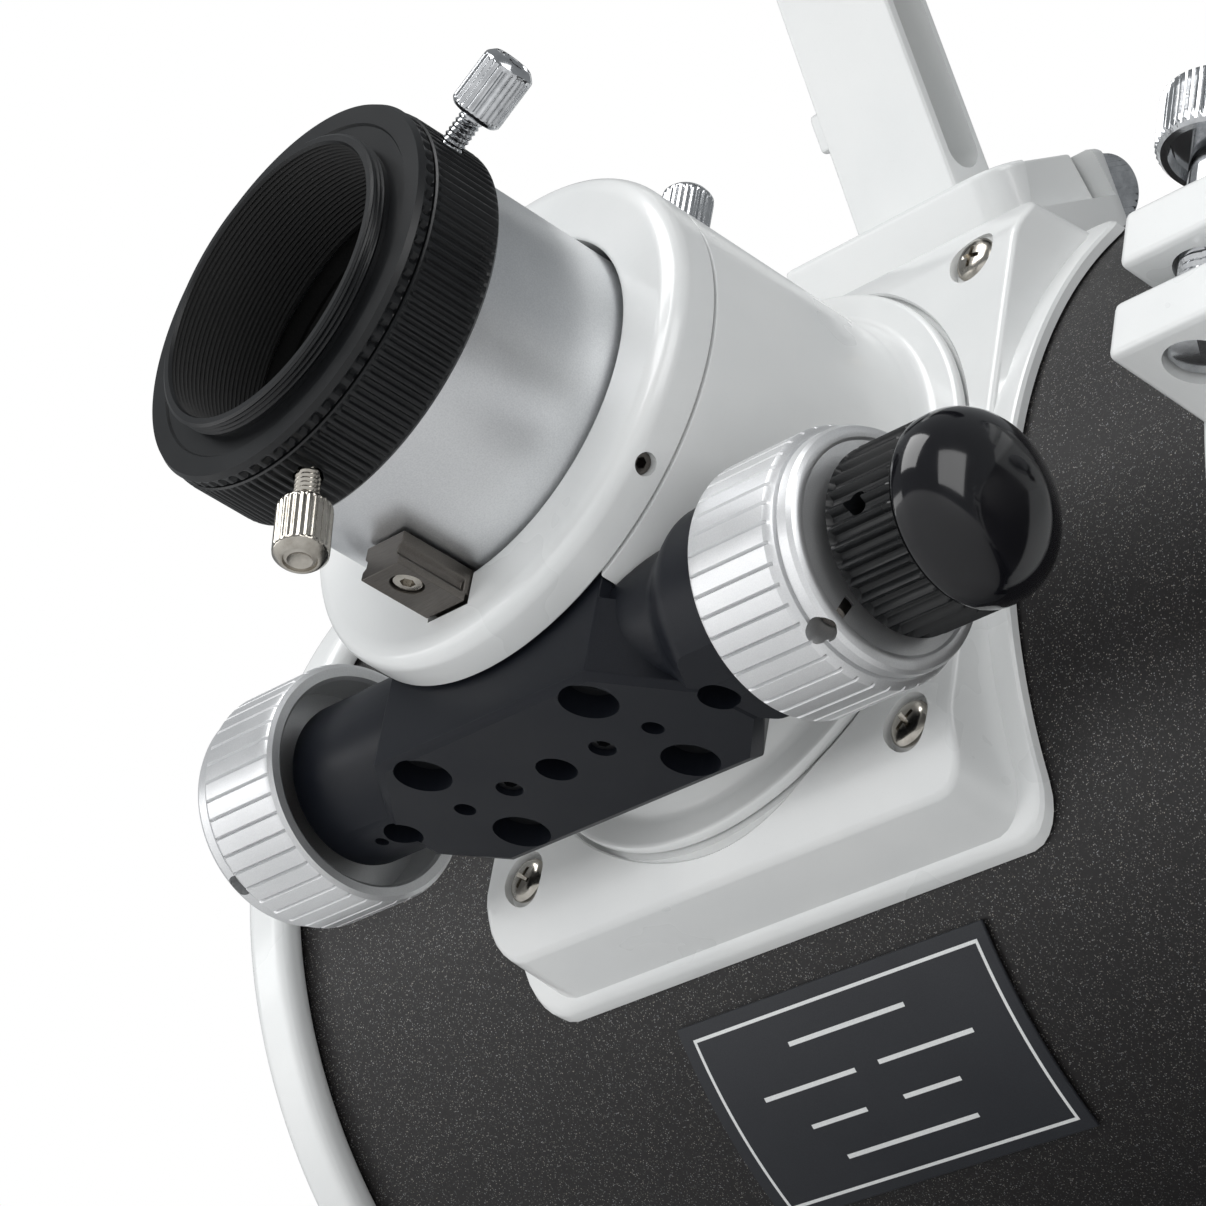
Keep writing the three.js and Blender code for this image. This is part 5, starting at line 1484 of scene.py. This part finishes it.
# ------------------------------------------------------------------------------------ finder
@dataclass
class Finder:
    """The finder, its bracket and its shoe, built about the stem's direction."""

    angle: float = 52.5
    shoe_front: float = -22.5
    shoe_rear: float = 28.0
    shoe_half: float = 16.0
    shoe_top: float = 107.0
    floor: float = 98.5
    foot_top: float = 8.4
    foot_bottom: float = 10.6
    stem_front: float = -13.5
    stem_rear: float = 10.0
    stem_half: float = 5.25
    height: float = 202.0
    ring: float = 28.0
    ring_bore: float = 23.0
    barrel: float = 16.0
    hood: float = 19.0
    front: float = -82.0
    rear: float = 84.0
    room: float = 4.0

    def place(self) -> Place:
        """The stem's frame: local X along the tube, local Z up the stem."""
        turn = math.radians(self.angle)
        return Place((0, 0, 0), (0, math.sin(turn), math.cos(turn)), (1, 0, 0))

    def shoe(self) -> Form:
        """The shoe's mesh."""
        corner = 7.0
        outline = [(self.shoe_front, -self.shoe_half)]
        for middle, start in (((self.shoe_rear - corner, -self.shoe_half + corner), -90),
                              ((self.shoe_rear - corner, self.shoe_half - corner), 0)):
            outline += [(middle[0] + corner * math.cos(math.radians(start + 15 * i)),
                         middle[1] + corner * math.sin(math.radians(start + 15 * i))) for i in range(7)]
        outline.append((self.shoe_front, self.shoe_half))
        solid = Form.prism(outline, 84, self.shoe_top).bevel(1.2, 3, 60)
        along = Place((0, 0, 0), (1, 0, 0), (0, 0, 1))
        skin = drill(90.35, -60, 80, along, 192)
        channel = [(-self.foot_bottom - GAP, self.floor), (self.foot_bottom + GAP, self.floor),
                   (self.foot_top + GAP, self.shoe_top + GAP), (-self.foot_top - GAP, self.shoe_top + GAP)]
        slot = Form.loft([[(x, y, z) for y, z in channel] for x in (self.shoe_front - 1, self.shoe_rear + 1)],
                         closed=False)
        hole = drill(2.3, 5, 20, Place((14, 0, 102.75), (0, 1, 0)))
        return solid.cut(skin, slot, hole)

    def bracket(self) -> Form:
        """The foot, the stem with its pockets and the ring."""
        foot_outline = [(-self.foot_bottom + GAP, self.floor + GAP), (self.foot_bottom - GAP, self.floor + GAP),
                        (self.foot_top - GAP, self.shoe_top + 0.6), (-self.foot_top + GAP, self.shoe_top + 0.6)]
        foot = Form.loft([[(x, y, z) for y, z in foot_outline] for x in (self.shoe_front + 3, self.shoe_rear - 4)],
                         closed=False).bevel(0.5, 2)
        taper = 0.9
        low, high = self.shoe_top, self.height - self.ring_bore - 1
        rings = [[(self.stem_front, -self.stem_half, low), (self.stem_rear, -self.stem_half, low),
                  (self.stem_rear, self.stem_half, low), (self.stem_front, self.stem_half, low)],
                 [(self.stem_front + taper, -self.stem_half, high), (self.stem_rear - taper, -self.stem_half, high),
                  (self.stem_rear - taper, self.stem_half, high), (self.stem_front + taper, self.stem_half, high)]]
        stem = Form.loft(rings, closed=False).bevel(0.9, 3)
        boss = Form.box((self.stem_front - 1.6, -self.stem_half + 0.3, 124),
                        (self.stem_front + 3, self.stem_half - 0.3, 131))
        boss = boss.bevel(0.9, 3)
        along = Place((0, 0, self.height), (1, 0, 0), (0, 0, 1))
        outline = [(self.ring_bore, self.stem_front), (self.ring, self.stem_front), (self.ring, self.stem_rear),
                   (self.ring_bore, self.stem_rear)]
        hoop = Form.turn(rounded(outline, 1.2, 3), 128).at(along)
        half = self.stem_half - 1.7
        pockets = []
        for bottom, top in ((111.5, self.height - self.ring - 3),):
            pocket = [(y, z) for y, z in ((-half, bottom + half), (half, bottom + half), (half, top), (-half, top))]
            arc = [(half * math.cos(math.radians(a)), bottom + half + half * math.sin(math.radians(a)))
                   for a in range(-165, 0, 15)]
            loop = [pocket[0], *arc, *pocket[1:]]
            pockets.append(Form.loft([[(x, y, z) for y, z in loop] for x in (self.stem_rear - 6.5, self.stem_rear + 1)],
                                     closed=False))
        solid = foot.join(stem, boss, hoop)
        bore = drill(self.ring_bore, self.stem_front - 1, self.stem_rear + 1, along, 128)
        middle = (self.stem_front + self.stem_rear) / 2
        holes = []
        for degrees in (150, 30):
            turn = math.radians(degrees)
            holes.append(drill(2.2, 10, 40, Place((middle, 0, self.height), (0, math.cos(turn), math.sin(turn)))))
        return solid.cut(bore, *pockets, *holes)

    def build(self) -> None:
        """Shows the finder's pieces."""
        stem = self.place()
        self.shoe().show("finder_shoe_casting", Coat.WHITE, "root", stem, ["finder_shoe"], crease=26)
        self.bracket().show("finder_bracket_casting", Coat.WHITE, "finder_mount", stem, ["finder_bracket"], crease=26)
        lock = Place((14, self.shoe_half, 102.75), (0, 1, 0)).inside(stem)
        Thumbscrew(self.shoe_half - self.foot_bottom + GAP, 3.0, 10.0, 6.4, grooves=34).show(
            "shoe_knob", "shoe_clamp", lock, ["shoe_screw"])
        middle = (self.stem_front + self.stem_rear) / 2
        for number, degrees in enumerate((150, 30), start=1):
            turn = math.radians(degrees)
            out = Vector((0, math.cos(turn), math.sin(turn)))
            reach = self.ring * math.cos(math.pi / 20)
            spot = Place((middle, out.y * reach, self.height + out.z * reach), out).inside(stem)
            Thumbscrew(reach - self.barrel - 2 * GAP).show(
                f"finder_knob_{number}", f"finder_screw_{'ab'[number - 1]}", spot, [f"finder_screw_{number}"])
        plunger = Place((middle, 0, self.height - self.ring_bore + 0.2), (0, 0, 1)).inside(stem)
        rod(1.8, 0, self.ring_bore - self.barrel - 0.6, 0.9, 32).show("finder_spring_pin", Coat.CHROME, "finder_mount",
                                                                      plunger)
        scope = Place((0, 0, self.height), (1, 0, 0), (0, 0, 1)).inside(stem)
        wall = 1.5
        cell = self.front + 30
        tube = [(self.hood - wall, self.front), (self.hood, self.front), (self.hood, cell + 3),
                (self.hood - 0.6, cell + 5),
                (self.barrel, cell + 11), (self.barrel, self.rear - 4), (self.barrel, self.rear),
                (self.barrel - wall, self.rear), (self.barrel - wall, cell), (self.hood - wall, cell)]
        Form.turn(rounded(tube, 0.6, 3), ROUND_FACETS).show(
            "finder_body", Coat.BLACK, "finder_scope", scope, ["finder_tube"], second=Coat.MATT,
            chooser=lambda c: (math.hypot(c.x, c.y) < self.barrel - 1
                               or (c.z < cell + 1 and math.hypot(c.x, c.y) < self.hood - 1)))
        hood = self.hood - wall - GAP
        lens = [(0, cell - 8), (hood * 0.35, cell - 7.75), (hood * 0.7, cell - 6.9), (hood, cell - 5.6),
                (hood, cell - 1),
                (0, cell - 0.6)]
        Form.turn(lens, ROUND_FACETS).show("finder_lens", Coat.GLASS, "finder_scope", scope, ["finder_objective"],
                                           crease=50)
        band = Form.turn(rounded([(self.barrel + 0.1, cell + 12), (self.barrel + 1.3, cell + 12),
                                  (self.barrel + 1.3, cell + 17), (self.barrel + 0.1, cell + 17)], 0.4), ROUND_FACETS)
        band.show("finder_lock_band", Coat.BLACK, "finder_scope", scope)
        tail = self.rear + self.room
        side = [(15.5, tail + 0.6 + 6.4 * i / 6) for i in range(7)]
        eye = [(0, self.rear - 14), (14.2, self.rear - 14), (14.2, tail), (15.1, tail), *side, (15.0, tail + 7.6),
               (13.4, tail + 8.6), (12.5, self.rear + 19), (11.0, self.rear + 22), (8.5, self.rear + 21.6),
               (7.2, self.rear + 19.4), (0, self.rear + 18.8)]
        cuts = groove(60, 0.35, 0.8, tail + 0.8, tail + 6.6, 0.6, 15.4)
        Form.turn(eye, 360, cuts).show("finder_eye", Coat.BLACK, "finder_eye", scope, ["finder_eyepiece"],
                                       second=Coat.GLASS,
                                       chooser=lambda c: c.z > self.rear + 18 and math.hypot(c.x, c.y) < 7.1,
                                       crease=26)


# ------------------------------------------------------------------------------------ mirrors
@dataclass
class Cell:
    """The main mirror, its tray and the cast cell behind it."""

    back: float = 441.0
    plate: float = 5.0
    rim: float = 95.0
    lip: float = 424.0
    tube: float = 90.3
    tube_rear: float = 437.3
    inner: float = 85.0
    mirror: float = 75.0
    mirror_face: float = 375.0
    mirror_edge: float = 22.0
    sag: float = 2.3
    tray: float = 82.0
    bolt_circle: float = 65.0
    lock_turn: float = 16.0
    room: float = 2.2

    def point(self, radius: float, degrees: float) -> tuple[float, float]:
        """Y and Z of a point about the tube's axis."""
        turn = math.radians(degrees)
        return radius * math.sin(turn), radius * math.cos(turn)

    def casting(self) -> Form:
        """The rear casting's mesh."""
        front = self.back - self.plate
        along = Place((0, 0, 0), (1, 0, 0), (0, 0, 1))
        outline = [(0, front), (self.inner, front), (self.inner, self.tube_rear), (self.tube, self.tube_rear),
                   (self.tube, self.lip), (self.rim - 1, self.lip), (self.rim, self.lip + 1.4),
                   (self.rim, self.back - 4), (self.rim - 4, self.back), (self.inner - 3, self.back),
                   (self.inner - 4, self.back - 0.9), (self.inner - 6, self.back - 0.9), (self.inner - 7, self.back),
                   (0, self.back)]
        solid = Form.turn(rounded(outline, 1.0, 3), 256).at(along)
        tools = []
        for degrees in (90, 210, 330):
            for extra in (0.0, self.lock_turn):
                y, z = self.point(self.bolt_circle, degrees + extra)
                tools.append(drill(2.8, front - 1, self.back + 1, Place((0, y, z), (1, 0, 0))))
            y, z = self.point(48.0, degrees + 60)
            window = Form.turn([(0, front - 1), (22.0, front - 1), (22.0, self.back - 1.3), (23.1, self.back + 0.4),
                                (0, self.back + 0.4)], ROUND_FACETS)
            tools.append(window.at(Place((0, y, z), (1, 0, 0))))
        return solid.cut(*tools)

    def spring(self, low: float, high: float) -> Form:
        """A coil spring on local Z."""
        turns, sides, wire, radius = 4, 10, 0.8, 5.2
        steps = 28 * turns
        rings = []
        for i in range(steps + 1):
            share = i / steps
            angle = math.tau * turns * share
            z = low + (high - low) * share
            out = Vector((math.cos(angle), math.sin(angle), 0))
            middle = out * radius + Vector((0, 0, z))
            rings.append([tuple(middle + out * (wire * math.cos(math.tau * k / sides))
                                + Vector((0, 0, wire * math.sin(math.tau * k / sides)))) for k in range(sides)])
        return Form.loft(rings, closed=False)

    def build(self) -> None:
        """Shows the cell, the mirror and the screws."""
        self.casting().show("cell_casting", Coat.WHITE, "root", TUBE, ["rear_cell"], crease=26)
        along = Place((0, 0, 0), (1, 0, 0), (0, 0, 1))
        low = self.mirror_face + self.mirror_edge + 1
        high = low + 8
        tray = Form.turn(rounded([(0, low), (self.tray, low), (self.tray, high), (0, high)], 1.2), 160).at(along)
        holes = []
        for degrees in (90, 210, 330):
            y, z = self.point(self.bolt_circle, degrees)
            holes.append(drill(3.5, low - 1, high + 1, Place((0, y, z), (1, 0, 0))))
        tray.cut(*holes).show("mirror_tray_plate", Coat.BLACK, "mirror_cell", TUBE, ["mirror_tray"])
        rings = 24
        face = [(self.mirror * i / rings, self.mirror_face + self.sag * (1 - (i / rings) ** 2))
                for i in range(rings, -1, -1)]
        back = self.mirror_face + self.mirror_edge
        glass = Form.turn([(0, back), (self.mirror - 0.8, back), (self.mirror, back - 0.8),
                           (self.mirror, self.mirror_face + 0.8), (self.mirror - 0.8, self.mirror_face + 0.03),
                           *face[1:]], 192)
        glass.show("main_mirror", Coat.GLASS, "mirror_cell", along, ["primary_mirror"], second=Coat.MIRROR,
                   chooser=lambda c: c.z < self.mirror_face + self.sag + 0.1, crease=RIM_CREASE)
        for number, degrees in enumerate((90, 210, 330), start=1):
            y, z = self.point(self.bolt_circle, degrees)
            spot = Place((self.back, y, z), (1, 0, 0), (0, 0, 1))
            side = [(9.0, 1.4 + 8.6 * i / 6) for i in range(7)]
            outline = [(0, low + self.room - self.back), (2.5, low + self.room - self.back), (2.5, GAP), (8.0, GAP),
                       (8.7, 0.9), *side, (8.6, 10.8), (7.6, 11.8), (5.6, 12.0), (5.2, 11.3), (0, 11.0)]
            cuts = groove(24, 0.8, 0.9, 1.2, 10.6, 0.8, 8.9)
            Form.turn(outline, 24 * 8, cuts).show(f"cell_wheel_{number}", Coat.BLACK, f"cell_knob_{number}", spot,
                                                  [f"collimation_knob_{number}"], crease=26)
            y2, z2 = self.point(self.bolt_circle, degrees + self.lock_turn)
            lock_spot = Place((self.back, y2, z2), (1, 0, 0), (0, 0, 1))
            deep = high + self.room - self.back
            head = Form.turn(rounded([(0, deep), (2.5, deep), (2.5, GAP), (4.1, GAP), (4.1, 8.0), (0, 8.0)], 0.5), 48)
            head.cut(Form.prism(circle(2.0, 6), 4.5, 9)).show(
                f"cell_lock_{number}", Coat.NICKEL, f"cell_lock_{number}", lock_spot, [f"lock_screw_{number}"])
            coil = self.spring(high + self.room + 0.8, self.back - self.plate - GAP - 0.8)
            coil.show(f"cell_spring_{number}", Coat.CHROME, "root", Place((0, y, z), (1, 0, 0)),
                      [f"collimation_spring_{number}"], crease=60)
            clip = Form.box((self.mirror_face - 3, -6, self.mirror + 1), (low - GAP, 6, self.tray - 1))
            hook = Form.box((self.mirror_face - 3, -6, self.mirror - 5), (self.mirror_face - 0.8, 6, self.tray - 1))
            clip.join(hook).bevel(0.5, 2).at(Matrix.Rotation(math.radians(-degrees - 60), 4, "X")).show(
                f"mirror_hook_{number}", Coat.BLACK, "mirror_cell", TUBE, [f"mirror_clip_{number}"])


@dataclass
class Diagonal:
    """The diagonal mirror on its holder, and the spider that carries them."""

    radius: float = 29.0
    thick: float = 8.0
    holder: float = 27.0
    holder_front: float = -52.0
    hub: float = 15.0
    hub_front: float = -100.0
    hub_rear: float = -62.0
    vane_front: float = -95.0
    vane_rear: float = -67.0
    reach: float = 87.9

    def slab(self, low: float, high: float) -> Form:
        """A slab between two planes at 45 degrees that face +X and +Z."""
        return Form.box((-200, -200, low), (200, 200, high)).at(Matrix.Rotation(math.pi / 4, 4, "Y"))

    def build(self) -> None:
        """Shows the mirror, the holder, the spider and the screws."""
        along = Place((0, 0, 0), (1, 0, 0), (0, 0, 1))
        column = drill(self.radius, -80, 80, along, 128)
        column.meet(self.slab(-self.thick, 0)).show("diagonal_mirror", Coat.GLASS, "secondary", TUBE,
                                                    ["secondary_mirror"], second=Coat.MIRROR,
                                                    chooser=lambda c: abs(c.x + c.z) < 0.05)
        cup = drill(self.holder, self.holder_front, 80, along, 128).cut(self.slab(-self.thick - GAP, 120))
        stud = drill(3.0, self.hub_front + 6, self.holder_front + 2, along)
        cup.join(stud).bevel(0.4, 2).show("diagonal_holder", Coat.BLACK, "secondary", TUBE, ["secondary_holder"])
        hub = Form.turn(rounded([(0, self.hub_front), (self.hub, self.hub_front), (self.hub, self.hub_rear),
                                 (0, self.hub_rear)], 1.2), ROUND_FACETS).at(along)
        vanes = [Form.box((self.vane_front, -0.5, -self.reach), (self.vane_rear, 0.5, self.reach)),
                 Form.box((self.vane_front, -self.reach, -0.5), (self.vane_rear, self.reach, 0.5))]
        tools = [drill(3.3, self.hub_front - 1, self.hub_rear + 1, along)]
        for number, degrees in enumerate((135, 255, 375), start=1):
            turn = math.radians(degrees)
            y, z = 9.5 * math.sin(turn), 9.5 * math.cos(turn)
            spot = Place((0, y, z), (1, 0, 0))
            tools.append(drill(1.9, self.hub_front - 1, self.hub_rear + 1, spot))
            screw = Form.turn(rounded([(0, -103), (2.6, -103), (2.6, -100.3), (1.6, -100.3), (1.6, -52.3), (0, -52.3)],
                                      0.3), 32)
            screw.cut(Form.prism(circle(1.3, 6), -104, -101.6)).show(
                f"diagonal_screw_{number}", Coat.NICKEL, f"flat_screw_{number}", spot, [f"secondary_screw_{number}"])
        hub.join(*vanes).cut(*tools).show("spider_vanes", Coat.BLACK, "root", TUBE, ["spider"])
        for number in range(1, 5):
            turn = math.radians(90 * number)
            out = (0, math.sin(turn), math.cos(turn))
            spot = Place((-81, 90.0 * out[1], 90.0 * out[2]), out)
            Form.turn(rounded([(0, 0.1), (4.2, 0.1), (4.2, 2.4), (3.4, 3.2), (0, 3.2)], 0.4), 48).cut(
                Form.box((-5, -0.5, 2.3), (5, 0.5, 4))).show(f"vane_screw_{number}", Coat.NICKEL, "root", spot)


# ------------------------------------------------------------------------------------ studio
@dataclass
class Studio:
    """Pale floor, soft lights and the camera."""

    lens: float = 139.353
    sensor: float = 36.0
    eye: tuple[float, float, float] = (484.0008, -375.7534, 466.7571)
    right: tuple[float, float, float] = (0.6501202, 0.1548114, -0.7438932)
    down: tuple[float, float, float] = (-0.3040616, -0.844212, -0.4414212)
    ahead: tuple[float, float, float] = (-0.6963406, 0.5131662, -0.5017671)

    def camera(self) -> None:
        """Makes the camera."""
        data = bpy.data.cameras.new("camera")
        data.lens, data.sensor_width = self.lens, self.sensor
        data.clip_start, data.clip_end = 0.01, 100.0
        camera = bpy.data.objects.new("camera", data)
        bpy.context.scene.collection.objects.link(camera)
        local = Matrix((
            (self.right[0], -self.down[0], -self.ahead[0], self.eye[0]),
            (self.right[1], -self.down[1], -self.ahead[1], self.eye[1]),
            (self.right[2], -self.down[2], -self.ahead[2], self.eye[2]), (0, 0, 0, 1)))
        place = TUBE.world() @ local
        spot, turn, _ = place.decompose()
        camera.location = spot
        camera.rotation_mode = "QUATERNION"
        camera.rotation_quaternion = turn
        bpy.context.scene.camera = camera

    def floor(self) -> None:
        """Makes the floor, which throws no shadow and isn't seen from below."""
        form = Form.of([(x, y, 0) for x, y in ((-6, -6), (6, -6), (6, 6), (-6, 6))], [(0, 1, 2, 3)])
        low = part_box("dovetail_bar")[0]
        form.mesh.transform(Matrix.Translation((0, 0, low.z - 0.0005)))
        form.mesh.materials.append(Wardrobe.get(Coat.FLOOR))
        obj = bpy.data.objects.new("floor", form.mesh)
        bpy.context.scene.collection.objects.link(obj)
        obj.visible_shadow = False

    def lamp(self, name: str, spot: Point, aim: Point, size: float, power: float,
             size_y: Optional[float] = None) -> None:
        """A soft area lamp; spot and aim are in the tube's millimetres."""
        data = bpy.data.lights.new(name, "AREA")
        data.shape = "RECTANGLE"
        data.size, data.size_y = size, size_y or size
        data.energy = power
        obj = bpy.data.objects.new(name, data)
        bpy.context.scene.collection.objects.link(obj)
        start, end = TUBE.world() @ Vector(spot), TUBE.world() @ Vector(aim)
        obj.location = start
        obj.rotation_mode = "QUATERNION"
        obj.rotation_quaternion = (end - start).to_track_quat("-Z", "Y")

    def world(self) -> None:
        """A white surround for the camera, softer and graded for the light that it gives."""
        world = bpy.data.worlds.new("studio")
        bpy.context.scene.world = world
        world.use_nodes = True
        tree = world.node_tree
        tree.nodes.clear()
        out = tree.nodes.new("ShaderNodeOutputWorld")
        seen = tree.nodes.new("ShaderNodeBackground")
        seen.inputs["Color"].default_value = grey(1.0)
        seen.inputs["Strength"].default_value = 1.0
        given = tree.nodes.new("ShaderNodeBackground")
        given.inputs["Color"].default_value = tint(0.93, 0.97, 1.0)
        given.inputs["Strength"].default_value = 0.3
        path = tree.nodes.new("ShaderNodeLightPath")
        mix = tree.nodes.new("ShaderNodeMixShader")
        tree.links.new(path.outputs["Is Camera Ray"], mix.inputs[0])
        tree.links.new(given.outputs[0], mix.inputs[1])
        tree.links.new(seen.outputs[0], mix.inputs[2])
        tree.links.new(mix.outputs[0], out.inputs["Surface"])

    def build(self) -> None:
        """Makes the whole studio."""
        self.camera()
        self.floor()
        self.world()
        middle = (0, 0, 120)
        self.lamp("key", (-150, 620, 900), middle, 0.7, 7.5)
        self.lamp("side", (900, 350, 500), middle, 0.6, 3.4)
        self.lamp("front", (-700, -260, 800), middle, 0.6, 3.0)
        self.lamp("under", (250, -900, 350), middle, 0.9, 1.6)
        bpy.context.scene.view_settings.view_transform = "Standard"


def main() -> None:
    """Builds the telescope around its frame."""
    logging.basicConfig(level=logging.INFO, format="%(name)s %(message)s")
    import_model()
    Place.measure()
    Studio().build()
    assemblies = [SaddleBase(), Barrel(), Drawtube(), Drive(), Shell(), Clamp("front", 107.5),
                  Clamp("rear", 300.0), DovetailBar(), Finder(), Cell(), Diagonal()]
    for assembly in assemblies:
        LOG.info("building %s", type(assembly).__name__)
        assembly.build()


if __name__ == "__main__":
    main()
